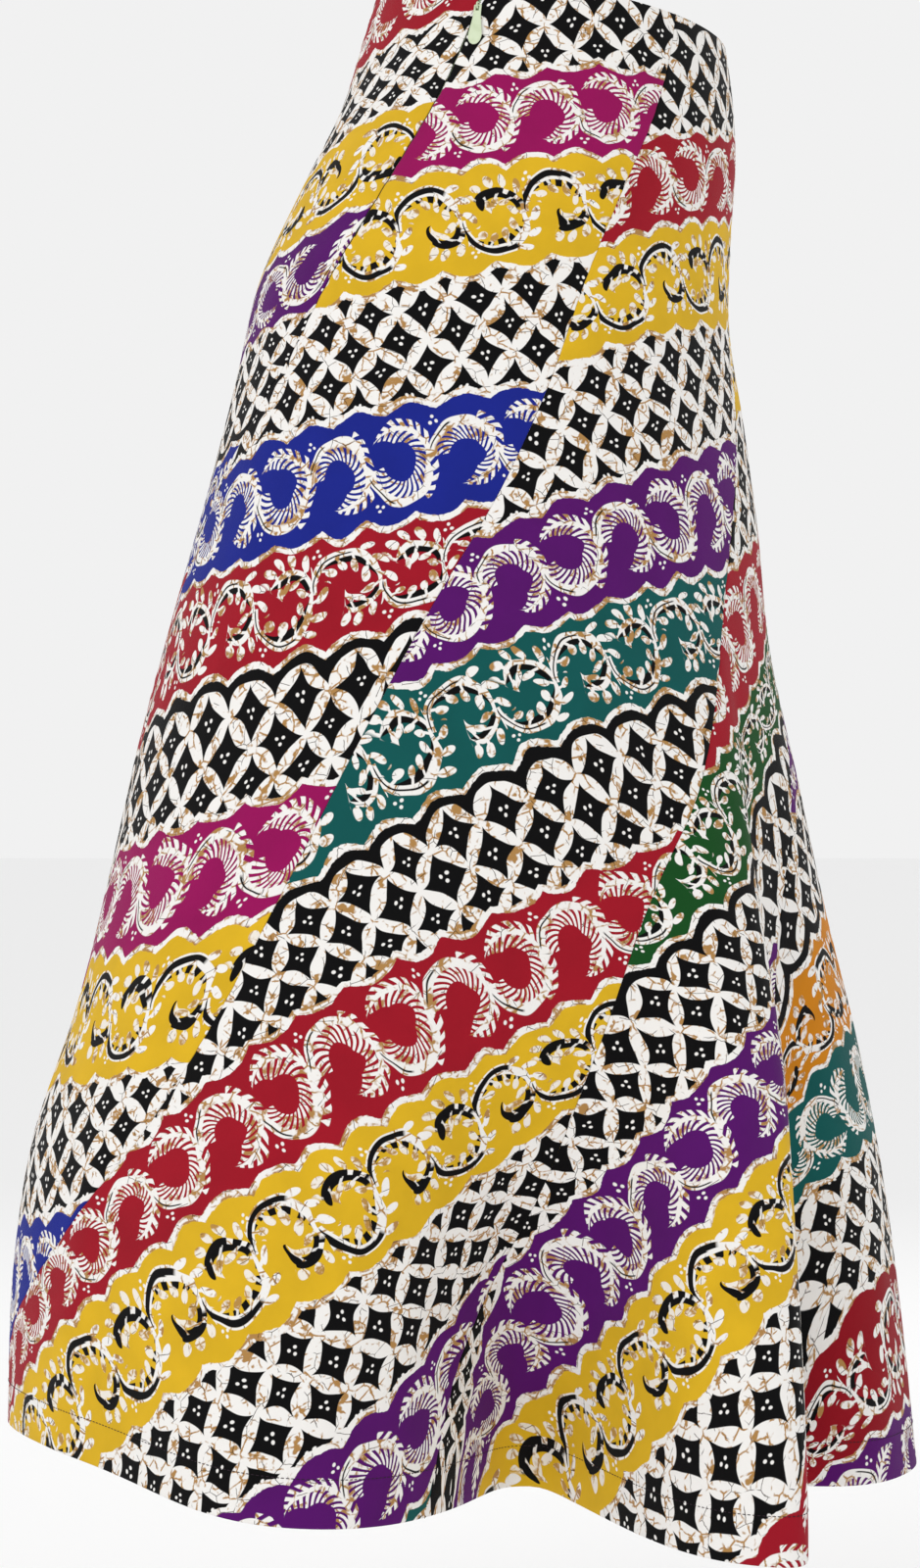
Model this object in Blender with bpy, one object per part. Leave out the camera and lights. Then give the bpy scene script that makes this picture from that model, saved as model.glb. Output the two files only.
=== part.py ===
"""Batik swirl skirt: six spiral gores on a general figure, with a concealed zip at the wearer's right side.

Metres, +Z up. The origin is the centre of the waist opening, +X is the wearer's front and -Y the wearer's
right side. The cloth is worked out as closed rings. Each ring is an ellipse with soft folds added to its
radius, and six seams divide it into gores that turn about the figure on the way down.
"""

import math
from collections import namedtuple

import bmesh
import bpy
import numpy as np
from mathutils import Matrix, Vector

MM = 0.001

# Cut of the skirt, in millimetres
GORES = 6
CLOTH_WALL = 1.5
HEM_WALL = 2.4
HEM_ALLOWANCE = 25.0
SEAM_GAP = 0.45
SKIRT_DROP = 872.0

# Concealed zip in seam 1, in millimetres down from the waist edge or across the seam
ZIP_SEAM = 1
NECK_DROP = 17.0
ZIP_MEETS_DROP = 30.0
ZIP_END_DROP = 192.0
CLOTH_PARTING = (7.0, 2.8)
TAPE_PARTING = (2.8, 2.2)
TAPE_TOP_DROP = 3.0
TAPE_WIDTH = 11.5
TAPE_THICK = 0.7
COIL_WIDTH = 1.7
COIL_THICK = 1.4
LAYER_GAP = 0.3
FACET_SLACK = 0.45
STOP_SIZE = (5.0, 4.5, 1.2)
STOP_DROP = 184.0

# Slider and pull tab, in millimetres. The bail is a hook of wire that comes out of the seam and holds the
# tab's bar.
SLIDER_SIZE = (6.6, 11.0, 1.4)
SLIDER_BEVEL = 0.45
BAIL_WIRE = 0.6
BAR_STANDOFF = 1.75
BAIL_STEPS = 8
BAR_WIDTH = 1.2
BAR_CLEARANCE = 0.35
TAB_LENGTH = 26.0
TAB_WIDTH = 8.6
TAB_TOP_WIDTH = 4.8
TAB_THICK = 1.1
TAB_WINDOW = (2.3, 3.2)
TAB_CORNER = 0.7
TAB_SIDE_STEPS = 5
TAB_TIP_STEPS = 6

# Mesh density
COLUMNS = 16
RING_SAMPLES = 1440
ROWS_BESIDE_ZIP = 5
ROWS_BELOW_ZIP = 19
ROW_CROWDING = 1.5

# A ring of cloth: its drop below the waist centre, how far it reaches back and forward of the waist centre,
# half its side-to-side width, how square its back half is (2 is an ellipse), how much it dips towards the
# front (rise over run), and the azimuths of seams 1 to 4. Azimuth is in degrees, 0 at the wearer's right
# side and 90 at the front.
Section = namedtuple("Section", "drop back front half_width back_squareness dip seam_1 seam_2 seam_3 seam_4")
SECTIONS = (
    Section(0, 110, 107, 123, 2.1, 0.148, -18.5, 38.5, 101.0, 162.0),
    Section(30, 119, 111, 130, 2.2, 0.140, -21.5, 34.5, 97.5, 159.0),
    Section(70, 131, 113, 142, 2.3, 0.130, -24.5, 28.5, 92.0, 155.5),
    Section(120, 155, 110, 156, 2.45, 0.110, -27.5, 23.0, 86.0, 151.0),
    Section(180, 182, 109, 170, 2.6, 0.090, -32.5, 17.5, 78.0, 143.5),
    Section(240, 196, 118, 180, 2.7, 0.080, -41.5, 10.5, 68.5, 132.0),
    Section(300, 211, 126, 192, 2.8, 0.070, -54.0, 3.0, 58.0, 114.0),
    Section(380, 233, 134, 210, 2.9, 0.060, -65.0, -7.5, 48.0, 91.0),
    Section(460, 254, 151, 228, 3.0, 0.050, -75.5, -16.5, 36.0, 71.0),
    Section(540, 271, 167, 246, 3.1, 0.048, -84.5, -23.5, 24.5, 58.0),
    Section(620, 290, 185, 262, 3.2, 0.045, -94.5, -30.0, 17.0, 50.0),
    Section(700, 315, 198, 276, 3.3, 0.042, -107.0, -37.5, 11.0, 44.0),
    Section(780, 326, 206, 284, 3.3, 0.040, -124.0, -51.5, 1.5, 39.0),
    Section(SKIRT_DROP, 329, 212, 288, 3.3, 0.035, -140.0, -77.0, -3.5, 34.0),
)

# A fold: its azimuth where it starts and at the hem, the drop it starts at, how far it stands out (or in,
# below zero) at the hem, its half width in degrees at the hem, how square its crest is (2 is round), and how
# far the bias cloth on it has dropped at the hem.
Fold = namedtuple("Fold", "start_azimuth hem_azimuth start_drop depth half_width squareness sag")
FOLDS = (
    Fold(-22, -17, 430, 54, 14, 2.0, 2),
    Fold(12, 11, 440, -98, 12.5, 2.6, 0),
    Fold(44, 25.5, 330, 108, 8, 3.6, 9),
    Fold(62, 46, 300, -50, 8, 2.0, 0),
    Fold(84, 74, 420, 14, 16, 2.0, 0),
    Fold(-50, -50, 300, 0, 30, 2.0, -20),
    Fold(-100, -101, 520, 14, 16, 2.0, 0),
    Fold(112, 103, 380, -52, 13, 2.0, 0),
    Fold(134, 127, 340, 62, 15, 2.2, 5),
    Fold(152, 152, 360, -70, 12, 2.0, 0),
    Fold(176, 178, 400, 58, 16, 2.2, 3),
    Fold(202, 205, 420, -66, 13, 2.0, 0),
    Fold(222, 231, 380, 60, 15, 2.2, 4),
)
FOLD_GROWTH = 1.8

Material = namedtuple("Material", "colour roughness metallic")
COTTON_COLOURS = (
    (0.50, 0.02, 0.03),
    (0.34, 0.00, 0.10),
    (0.09, 0.01, 0.18),
    (0.01, 0.10, 0.03),
    (0.00, 0.14, 0.12),
    (0.70, 0.45, 0.02),
)
TAPE_FINISH = Material((0.60, 0.66, 0.45), 0.80, 0.0)
METAL_FINISH = Material((0.62, 0.68, 0.48), 0.38, 0.25)


def clear_scene():
    for old in list(bpy.data.objects):
        bpy.data.objects.remove(old, do_unlink=True)


def smooth_column(name, drop):
    """A column of SECTIONS at any drop, on a smooth curve through its rows."""
    drops = np.array([s.drop for s in SECTIONS], float)
    values = np.array([getattr(s, name) for s in SECTIONS], float)
    steps = np.diff(drops)
    slopes = np.diff(values) / steps
    tangents = np.empty_like(values)
    tangents[0] = slopes[0]
    tangents[-1] = slopes[-1]
    tangents[1:-1] = (slopes[:-1] * steps[1:] + slopes[1:] * steps[:-1]) / (steps[:-1] + steps[1:])
    row = int(np.clip(np.searchsorted(drops, drop) - 1, 0, len(steps) - 1))
    t = (drop - drops[row]) / steps[row]
    return (
        (1 + 2 * t) * (1 - t) ** 2 * values[row]
        + t * (1 - t) ** 2 * steps[row] * tangents[row]
        + t**2 * (3 - 2 * t) * values[row + 1]
        + t**2 * (t - 1) * steps[row] * tangents[row + 1]
    )


def fold_sums(azimuth, drop):
    """How far the folds move the cloth out, and how far down, at these azimuths, in millimetres."""
    out = np.zeros_like(azimuth)
    down = np.zeros_like(azimuth)
    for fold in FOLDS:
        share = (drop - fold.start_drop) / (SKIRT_DROP - fold.start_drop)
        if share <= 0:
            continue
        centre = fold.start_azimuth + (fold.hem_azimuth - fold.start_azimuth) * share
        away = (np.degrees(azimuth) - centre + 180) % 360 - 180
        shape = share**FOLD_GROWTH * np.exp(-np.abs(away / fold.half_width) ** fold.squareness)
        out += fold.depth * shape
        down += fold.sag * shape
    return out, down


def ring(azimuth, drop):
    """Points of the cloth at these azimuths, at one drop below the waist."""
    back = smooth_column("back", drop)
    front = smooth_column("front", drop)
    half_width = smooth_column("half_width", drop)
    centre_x = (front - back) / 2
    half_depth = (front + back) / 2
    out, down = fold_sums(azimuth, drop)
    power = np.where(np.sin(azimuth) < 0, smooth_column("back_squareness", drop), 2.0)
    along_depth = np.abs(np.sin(azimuth) / half_depth) ** power
    along_width = np.abs(np.cos(azimuth) / half_width) ** power
    radius = out + (along_depth + along_width) ** (-1 / power)
    x = centre_x + radius * np.sin(azimuth)
    y = -radius * np.cos(azimuth)
    z = -drop - down - smooth_column("dip", drop) * x
    return np.stack([x, y, z], axis=-1)


def ring_length(drop):
    """Azimuths all round one ring, and the length of cloth up to each of them."""
    dense = np.linspace(-math.pi, math.pi, RING_SAMPLES + 1)
    points = ring(dense, drop)
    return dense, np.concatenate([[0], np.cumsum(np.linalg.norm(np.diff(points, axis=0), axis=1))])


def seam_share(seam, drop):
    """Where a seam lies, as a share of the cloth's length round the ring, counted from seam 2.

    Seams 1 to 4 are placed by their azimuths. Seams 5 and 6 divide the rest of the ring equally.
    """
    dense, length = ring_length(drop)
    placed = {
        k: np.interp(math.radians(smooth_column(f"seam_{k}", drop)), dense, length) / length[-1]
        for k in (1, 2, 3, 4)
    }
    if seam in placed:
        return (placed[seam] - placed[2]) % 1.0
    equal_gores = GORES - 3
    return placed[4] - placed[2] + (seam - 4) % GORES * (placed[1] + 1 - placed[4]) / equal_gores


def azimuths_of(shares, drop):
    """Azimuths of places given as shares of the cloth's length round the ring, counted from seam 2."""
    dense, length = ring_length(drop)
    start = np.interp(math.radians(smooth_column("seam_2", drop)), dense, length)
    return np.interp((start + shares * length[-1]) % length[-1], length, dense), length[-1]


def cloth(shares, drop):
    """Points and outward normals of the cloth at shares of one ring, and the length of cloth round it."""
    step = 0.5
    azimuth, length = azimuths_of(np.asarray(shares, float), drop)
    turn = math.radians(0.2)
    along = ring(azimuth + turn, drop) - ring(azimuth - turn, drop)
    down = ring(azimuth, drop + step) - ring(azimuth, drop - step)
    normal = np.cross(down, along)
    normal /= np.linalg.norm(normal, axis=1, keepdims=True)
    return ring(azimuth, drop), normal, length


def row_drops():
    """Drops of the mesh rows, close together at the slider, with rows at the zip's end and the hem line."""
    top = [0.0, NECK_DROP / 2, NECK_DROP, ZIP_MEETS_DROP]
    beside_zip = np.linspace(ZIP_MEETS_DROP, ZIP_END_DROP, ROWS_BESIDE_ZIP + 1)[1:]
    # Rows crowd towards the hem, where the folds are deepest and the seams run flattest.
    above_hem = np.linspace(1, 0, ROWS_BELOW_ZIP + 1)[1:] ** ROW_CROWDING
    hem_line = SKIRT_DROP - HEM_ALLOWANCE
    below = hem_line - (hem_line - ZIP_END_DROP) * above_hem
    return [*top, *beside_zip, *below, SKIRT_DROP]


def half_parting(parting, drop):
    """Half the gap across the zip at one drop, from the parting at the waist and at the neck."""
    at_waist, at_neck = parting
    return np.interp(drop, [0, NECK_DROP, ZIP_MEETS_DROP], [at_waist, at_neck, SEAM_GAP]) / 2


def half_gap(seam, drop):
    """Half the gap between two gores at a seam."""
    return half_parting(CLOTH_PARTING, drop) if seam == ZIP_SEAM else SEAM_GAP / 2


def gore_row(gore, drop):
    """Outer points and normals of one row across a gore, from seam to seam."""
    length = cloth([0.0], drop)[2]
    end_seam = (gore + 1) % GORES
    first = seam_share(gore, drop) + half_gap(gore, drop) / length
    last = seam_share(end_seam, drop) - half_gap(end_seam, drop) / length
    if last < first:
        last += 1
    points, normals, _ = cloth(np.linspace(first, last, COLUMNS + 1), drop)
    return points, normals


def wall_at(drop):
    """The cloth's thickness, greater where the hem is turned up inside."""
    return HEM_WALL if drop > SKIRT_DROP - HEM_ALLOWANCE else CLOTH_WALL


def closed_wall(name, outer, inner, finish, collection):
    """One closed wall between two grids of points, given as rows of points in millimetres."""
    rows, columns = len(outer), len(outer[0])
    built = bmesh.new()
    sheets = []
    for sheet in (outer, inner):
        sheets.append([[built.verts.new(Vector(p) * MM) for p in row] for row in sheet])
    front, back = sheets
    for j in range(rows - 1):
        for i in range(columns - 1):
            built.faces.new((front[j][i], front[j + 1][i], front[j + 1][i + 1], front[j][i + 1]))
            built.faces.new((back[j][i], back[j][i + 1], back[j + 1][i + 1], back[j + 1][i]))
        built.faces.new((front[j][0], back[j][0], back[j + 1][0], front[j + 1][0]))
        built.faces.new((front[j][-1], front[j + 1][-1], back[j + 1][-1], back[j][-1]))
    for i in range(columns - 1):
        built.faces.new((front[0][i], front[0][i + 1], back[0][i + 1], back[0][i]))
        built.faces.new((front[-1][i], back[-1][i], back[-1][i + 1], front[-1][i + 1]))
    bmesh.ops.recalc_face_normals(built, faces=built.faces)
    bmesh.ops.triangulate(built, faces=built.faces, quad_method="FIXED")
    return finished(name, built, finish, collection)


def finished(name, built, finish, collection):
    """A named object of this mesh, with its own Principled material, in the skirt's collection."""
    mesh = bpy.data.meshes.new(name)
    built.to_mesh(mesh)
    built.free()
    mesh.materials.append(make_material(name + "_finish", finish))
    made = bpy.data.objects.new(name, mesh)
    collection.objects.link(made)
    mesh.shade_smooth()
    mesh.set_sharp_from_angle(angle=math.radians(40))
    return made


def make_material(name, finish):
    material = bpy.data.materials.new(name)
    material.use_nodes = True
    shader = material.node_tree.nodes["Principled BSDF"]
    shader.inputs["Base Color"].default_value = (*finish.colour, 1)
    shader.inputs["Roughness"].default_value = finish.roughness
    shader.inputs["Metallic"].default_value = finish.metallic
    return material


def build_gores(collection):
    for gore in range(GORES):
        outer = []
        inner = []
        for drop in row_drops():
            points, normals = gore_row(gore, drop)
            outer.append(points)
            inner.append(points - normals * wall_at(drop))
        finish = Material(COTTON_COLOURS[gore], 0.78, 0.0)
        closed_wall(f"gore_{gore + 1}", outer, inner, finish, collection)


def edge_strip(gore, offsets_at, depth):
    """Points of a strip that lies inside a gore's edge at the zip, on the gore's own flat facets.

    offsets_at(drop) gives the distances from the gore's edge, towards the gore. depth is how far in it lies.
    """
    at_left_edge = gore == ZIP_SEAM
    strip = []
    drops = [d for d in row_drops() if d <= ZIP_END_DROP]
    rows = [gore_row(gore, d) for d in drops]
    # The strip starts a little below the waist edge, between the first two rows.
    share = TAPE_TOP_DROP / drops[1]
    rows[0] = tuple(first + (second - first) * share for first, second in zip(rows[0], rows[1]))
    drops[0] = TAPE_TOP_DROP
    for drop, (points, normals) in zip(drops, rows):
        if not at_left_edge:
            points, normals = points[::-1], normals[::-1]
        spacing = np.linalg.norm(points[1] - points[0])
        row = []
        for offset in offsets_at(drop):
            column = int(np.clip(offset // spacing, 0, COLUMNS - 1))
            t = offset / spacing - column
            point = points[column] + (points[column + 1] - points[column]) * t
            normal = normals[column] + (normals[column + 1] - normals[column]) * max(t, 0.0)
            row.append(point - normal * depth)
        strip.append(row if at_left_edge else row[::-1])
    return strip


def tape_edge(drop):
    """Where the tape's inner edge lies from the gore's edge: below zero where it shows in the parted seam."""
    return half_parting(TAPE_PARTING, drop) - half_parting(CLOTH_PARTING, drop)


def tape_offsets(drop):
    edge = tape_edge(drop)
    column = np.linalg.norm(np.diff(gore_row(ZIP_SEAM, drop)[0][:2], axis=0))
    return [edge, max(0.0, edge) + column, edge + TAPE_WIDTH]


def coil_offsets(drop):
    edge = tape_edge(drop)
    return [edge, edge + COIL_WIDTH]


def build_zip_strips(collection):
    tape_depth = CLOTH_WALL + LAYER_GAP
    coil_depth = tape_depth + TAPE_THICK + LAYER_GAP
    strips = (
        ("zip_tape", tape_offsets, tape_depth, TAPE_THICK),
        ("zip_coil", coil_offsets, coil_depth, COIL_THICK),
    )
    for name, offsets_at, depth, thick in strips:
        for side, gore in (("back", ZIP_SEAM - 1), ("front", ZIP_SEAM)):
            outer = edge_strip(gore, offsets_at, depth)
            inner = edge_strip(gore, offsets_at, depth + thick)
            closed_wall(f"{name}_{side}", outer, inner, TAPE_FINISH, collection)


def seam_place(drop, upright):
    """A matrix on the zip seam in millimetres: X to the right across the cloth, Y up and Z out of it.

    Y runs up the seam, or straight up the cloth where upright is set.
    """
    share = seam_share(ZIP_SEAM, drop)
    point, normal, _ = cloth([share], drop)
    below = cloth([seam_share(ZIP_SEAM, drop + 1)], drop + 1)[0]
    out = Vector(normal[0])
    down = Vector((0, 0, -1)) if upright else Vector(below[0] - point[0])
    right = out.cross(down).normalized()
    up = out.cross(right).normalized()
    place = Matrix((right, up, out)).transposed().to_4x4()
    place.translation = Vector(point[0])
    return place


def in_metres(place):
    return Matrix.Scale(MM, 4) @ place


def block(size, centre):
    """A block of this size about a centre, in a mesh of its own."""
    built = bmesh.new()
    bmesh.ops.create_cube(built, size=1)
    bmesh.ops.scale(built, vec=Vector(size), verts=built.verts)
    bmesh.ops.translate(built, vec=Vector(centre), verts=built.verts)
    return built


def round_edges(built, width):
    bmesh.ops.bevel(built, geom=list(built.edges), offset=width, segments=2, affect="EDGES", profile=0.5)


def behind_coil():
    """Depth of the first free layer behind the zip's coil, from the outside of the cloth."""
    return CLOTH_WALL + TAPE_THICK + COIL_THICK + 3 * LAYER_GAP + FACET_SLACK


def build_stop(collection):
    built = block(STOP_SIZE, (0, 0, -behind_coil() - STOP_SIZE[2] / 2))
    round_edges(built, SLIDER_BEVEL / 2)
    built.transform(in_metres(seam_place(STOP_DROP, False)))
    finished("zip_bottom_stop", built, METAL_FINISH, collection)


def bail_route():
    """Centre line of the bail, in the upright place at the neck: out of the seam and over the tab's bar."""
    reach = BAR_WIDTH * 0.7 + BAR_CLEARANCE + BAIL_WIRE
    points = [(0, 0, -behind_coil() - SLIDER_SIZE[2] / 2), (0, 0, -CLOTH_WALL), (0, 0, BAR_STANDOFF)]
    for step in range(1, BAIL_STEPS + 1):
        turn = math.pi * step / BAIL_STEPS
        points.append((0, -reach + reach * math.cos(turn), BAR_STANDOFF + reach * math.sin(turn)))
    points.append((0, -2 * reach, BAIL_WIRE + LAYER_GAP))
    return points, reach


def wire_mesh(points, radius):
    """A closed tube along these points."""
    curve = bpy.data.curves.new("wire", "CURVE")
    curve.dimensions = "3D"
    curve.bevel_depth = radius
    curve.bevel_resolution = 2
    curve.use_fill_caps = True
    spline = curve.splines.new("POLY")
    spline.points.add(len(points) - 1)
    for point, place in zip(spline.points, points):
        point.co = (*place, 1)
    guide = bpy.data.objects.new("wire", curve)
    bpy.context.scene.collection.objects.link(guide)
    bpy.context.view_layer.update()
    mesh = bpy.data.meshes.new_from_object(guide.evaluated_get(bpy.context.evaluated_depsgraph_get()))
    bpy.data.objects.remove(guide, do_unlink=True)
    built = bmesh.new()
    built.from_mesh(mesh)
    bmesh.ops.remove_doubles(built, verts=built.verts, dist=1e-4)
    bmesh.ops.recalc_face_normals(built, faces=built.faces)
    return built


def build_slider(collection, cutters):
    """The slider: a body behind the coils, lying along the seam, and the bail that it carries outside."""
    body = block(SLIDER_SIZE, (0, -SLIDER_SIZE[1] / 2 + BAIL_WIRE * 2, -behind_coil() - SLIDER_SIZE[2] / 2))
    round_edges(body, SLIDER_BEVEL)
    body.transform(in_metres(seam_place(NECK_DROP, False)))
    slider = finished("zip_slider", body, METAL_FINISH, collection)
    bail = wire_mesh(bail_route()[0], BAIL_WIRE)
    bail.transform(in_metres(seam_place(NECK_DROP, True)))
    helper = finished("bail_wire", bail, METAL_FINISH, cutters)
    helper.hide_render = True
    helper.display_type = "WIRE"
    joined = slider.modifiers.new("bail", "BOOLEAN")
    joined.operation = "UNION"
    joined.object = helper


def tab_outline():
    """The pull tab's outline, clockwise from its top: a narrow head over a long drop shape."""
    half_top = TAB_TOP_WIDTH / 2
    half = TAB_WIDTH / 2
    shoulder = -(TAB_WINDOW[1] + BAR_WIDTH)
    belly = -(TAB_LENGTH - half * 1.5)
    bar_top = BAR_WIDTH / 2
    points = [(half_top - TAB_CORNER, bar_top), (half_top, bar_top - TAB_CORNER), (half_top, shoulder)]
    for step in range(1, TAB_SIDE_STEPS):
        t = step / TAB_SIDE_STEPS
        points.append((half_top + (half - half_top) * t**1.4, shoulder + (belly - shoulder) * t))
    tip = bar_top - TAB_LENGTH
    for step in range(TAB_TIP_STEPS + 1):
        turn = math.pi / 2 * step / TAB_TIP_STEPS
        points.append((half * math.cos(turn) ** 0.8, belly + (tip - belly) * math.sin(turn)))
    points[-1] = (0.0, tip)
    return points + [(-x, y) for x, y in reversed(points[:-1])]


def build_tab(collection):
    """The pull tab, with its origin on the centre line of its bar, which is the joint's axis."""
    curve = bpy.data.curves.new("zip_pull", "CURVE")
    curve.dimensions = "2D"
    curve.fill_mode = "BOTH"
    curve.extrude = TAB_THICK / 2 * MM
    half_window = TAB_WINDOW[0] / 2
    top = -BAR_WIDTH / 2
    window = [(half_window, top), (half_window, top - TAB_WINDOW[1])]
    window += [(-x, y) for x, y in reversed(window)]
    for outline in (tab_outline(), window):
        spline = curve.splines.new("POLY")
        spline.points.add(len(outline) - 1)
        spline.use_cyclic_u = True
        for point, place in zip(spline.points, outline):
            point.co = (place[0] * MM, place[1] * MM, 0, 1)
    curve.materials.append(make_material("zip_pull_finish", METAL_FINISH))
    tab = bpy.data.objects.new("zip_pull", curve)
    collection.objects.link(tab)
    place = seam_place(NECK_DROP, True)
    place.translation = place @ Vector((0, -bail_route()[1], BAR_STANDOFF))
    place.translation *= MM
    tab.matrix_world = place


def main():
    clear_scene()
    collection = bpy.data.collections.new("batik_skirt")
    cutters = bpy.data.collections.new("helpers")
    for made in (collection, cutters):
        bpy.context.scene.collection.children.link(made)
    build_gores(collection)
    build_zip_strips(collection)
    build_stop(collection)
    build_slider(collection, cutters)
    build_tab(collection)


main()
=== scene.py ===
"""Looks of the batik swirl skirt: cloth, printed pattern, zip, hem stitches, light and camera.

The cloth follows the rings and folds that shape the solids, as thin shells with their edges turned in at
the seams, the waist and the hem. Lengths of the cut and the print are millimetres. The scene is in metres.
"""

import functools
import math
from collections import namedtuple

import bmesh
import bpy
import numpy as np
from mathutils import Matrix, Vector


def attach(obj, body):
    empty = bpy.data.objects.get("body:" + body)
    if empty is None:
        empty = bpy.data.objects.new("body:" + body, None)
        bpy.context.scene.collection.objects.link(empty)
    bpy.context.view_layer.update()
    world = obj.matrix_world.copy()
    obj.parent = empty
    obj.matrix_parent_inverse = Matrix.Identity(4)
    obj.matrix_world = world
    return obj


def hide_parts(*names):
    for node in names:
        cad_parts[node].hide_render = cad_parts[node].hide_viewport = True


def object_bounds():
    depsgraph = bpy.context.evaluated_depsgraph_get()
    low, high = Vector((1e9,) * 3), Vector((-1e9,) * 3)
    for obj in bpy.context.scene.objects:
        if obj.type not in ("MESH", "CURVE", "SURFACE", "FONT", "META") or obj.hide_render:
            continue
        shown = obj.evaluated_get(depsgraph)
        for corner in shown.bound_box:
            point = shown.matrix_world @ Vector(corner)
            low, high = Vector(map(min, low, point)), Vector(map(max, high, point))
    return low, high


MM = 0.001

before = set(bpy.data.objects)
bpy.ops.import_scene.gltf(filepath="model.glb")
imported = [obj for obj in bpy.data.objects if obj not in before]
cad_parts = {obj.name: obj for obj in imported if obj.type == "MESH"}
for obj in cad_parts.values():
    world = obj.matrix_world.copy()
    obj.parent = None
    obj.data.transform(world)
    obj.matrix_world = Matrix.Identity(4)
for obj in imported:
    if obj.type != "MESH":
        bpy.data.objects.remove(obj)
solids_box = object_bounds()


def table(fields, *rows):
    """Rows of values with named fields."""
    kind = namedtuple("Row", fields)
    return [kind(*row) for row in rows]


# The cut, in millimetres, as in the solids
GORES = 6
SKIRT_DROP = 872.0
HEM_ALLOWANCE = 25.0
RING_SAMPLES = 1440
ZIP_SEAM = 1
NECK_DROP = 17.0
ZIP_MEETS_DROP = 30.0
ZIP_END_DROP = 192.0
CLOTH_PARTING = (7.0, 2.8)
TAPE_PARTING = (2.8, 2.2)
ZIP_SLIT = 0.7
SLIT_RUN_OUT = 20.0

# A ring of cloth: its drop below the waist centre, how far it reaches back and forward of the waist centre,
# half its side-to-side width, how square its back half is (2 is an ellipse), how much it dips towards the
# front (rise over run), and the azimuths of seams 1 to 4. Azimuth is in degrees, 0 at the right side as worn
# and 90 at the front.
SECTIONS = table(
    "drop back front half_width back_squareness dip seam_1 seam_2 seam_3 seam_4",
    (0, 110, 107, 123, 2.1, 0.148, -18.5, 38.5, 101.0, 162.0),
    (30, 119, 111, 130, 2.2, 0.140, -21.5, 34.5, 97.5, 159.0),
    (70, 131, 113, 142, 2.3, 0.130, -24.5, 28.5, 92.0, 155.5),
    (120, 155, 110, 156, 2.45, 0.110, -27.5, 23.0, 86.0, 151.0),
    (180, 182, 109, 170, 2.6, 0.090, -32.5, 17.5, 78.0, 143.5),
    (240, 196, 118, 180, 2.7, 0.080, -41.5, 10.5, 68.5, 132.0),
    (300, 211, 126, 192, 2.8, 0.070, -54.0, 3.0, 58.0, 114.0),
    (380, 233, 134, 210, 2.9, 0.060, -65.0, -7.5, 48.0, 91.0),
    (460, 254, 151, 228, 3.0, 0.050, -75.5, -16.5, 36.0, 71.0),
    (540, 271, 167, 246, 3.1, 0.048, -84.5, -23.5, 24.5, 58.0),
    (620, 290, 185, 262, 3.2, 0.045, -94.5, -30.0, 17.0, 50.0),
    (700, 315, 198, 276, 3.3, 0.042, -107.0, -37.5, 11.0, 44.0),
    (780, 326, 206, 284, 3.3, 0.040, -124.0, -51.5, 1.5, 39.0),
    (SKIRT_DROP, 329, 212, 288, 3.3, 0.035, -140.0, -77.0, -3.5, 34.0),
)

# A fold: its azimuth where it starts and at the hem, the drop it starts at, how far it stands out (or in,
# below zero) at the hem, its half width in degrees at the hem, how square its crest is (2 is round), and how
# far the bias cloth on it has dropped at the hem.
FOLDS = table(
    "start_azimuth hem_azimuth start_drop depth half_width squareness sag",
    (-22, -17, 430, 54, 14, 2.0, 2),
    (12, 11, 440, -98, 12.5, 2.6, 0),
    (44, 25.5, 330, 108, 8, 3.6, 9),
    (62, 46, 300, -50, 8, 2.0, 0),
    (84, 74, 420, 14, 16, 2.0, 0),
    (-50, -50, 300, 0, 30, 2.0, -20),
    (-100, -101, 520, 14, 16, 2.0, 0),
    (112, 103, 380, -52, 13, 2.0, 0),
    (134, 127, 340, 62, 15, 2.2, 5),
    (152, 152, 360, -70, 12, 2.0, 0),
    (176, 178, 400, 58, 16, 2.2, 3),
    (202, 205, 420, -66, 13, 2.0, 0),
    (222, 231, 380, 60, 15, 2.2, 4),
)
FOLD_GROWTH = 1.8

# Steps round and down the cloth from which its normals are taken, in radians and millimetres
NORMAL_TURN = math.radians(0.2)
NORMAL_STEP = 0.5

# A crease, finer than the solids' folds: its azimuth at its upper and lower end, the drops of its ends, how
# far it stands out in the middle, and its half width across.
CREASES = table(
    "top_azimuth low_azimuth top_drop low_drop height half_width",
    (-6, -14, 420, 900, 2.4, 16),
    (-38, -44, 520, 900, 2.2, 20),
    (-64, -70, 380, 780, -1.8, 18),
    (2, -4, 560, 900, -2.2, 12),
    (30, 20, 430, 900, 2.0, 10),
    (52, 50, 380, 620, -2.6, 9),
    (70, 62, 640, 900, 2.2, 16),
    (92, 88, 560, 900, -2.4, 20),
    (118, 112, 420, 860, 2.0, 14),
    (166, 160, 460, 900, 2.4, 18),
    (-158, -166, 500, 900, -2.2, 16),
    (-126, -132, 440, 900, 2.6, 22),
    (-112, -108, 600, 900, -2.0, 14),
    (-14, 10, 60, 330, -0.9, 15),
    (28, 44, 90, 380, 0.9, 18),
    (-60, -30, 120, 420, 0.8, 20),
    (130, 112, 80, 360, -0.9, 18),
    (-150, -120, 100, 400, 0.9, 20),
)
CREASE_BLUNTNESS = 0.7

# Shell of one gore, in millimetres. Its baked looks leave a margin, as a share of their sheet.
CLOTH_THICK = 0.6
SHEET_MARGIN = 0.002
MAIN_COLUMNS = 74
MAIN_ROWS = 226
SEAM_ALLOWANCE = 10.0
WAIST_TURN = 14.0
TURN_DEPTH = 1.15
PUCKER_PITCH = 13.0
PUCKER_REACH = 7.0
PUCKER_HEIGHT = 0.3

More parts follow.
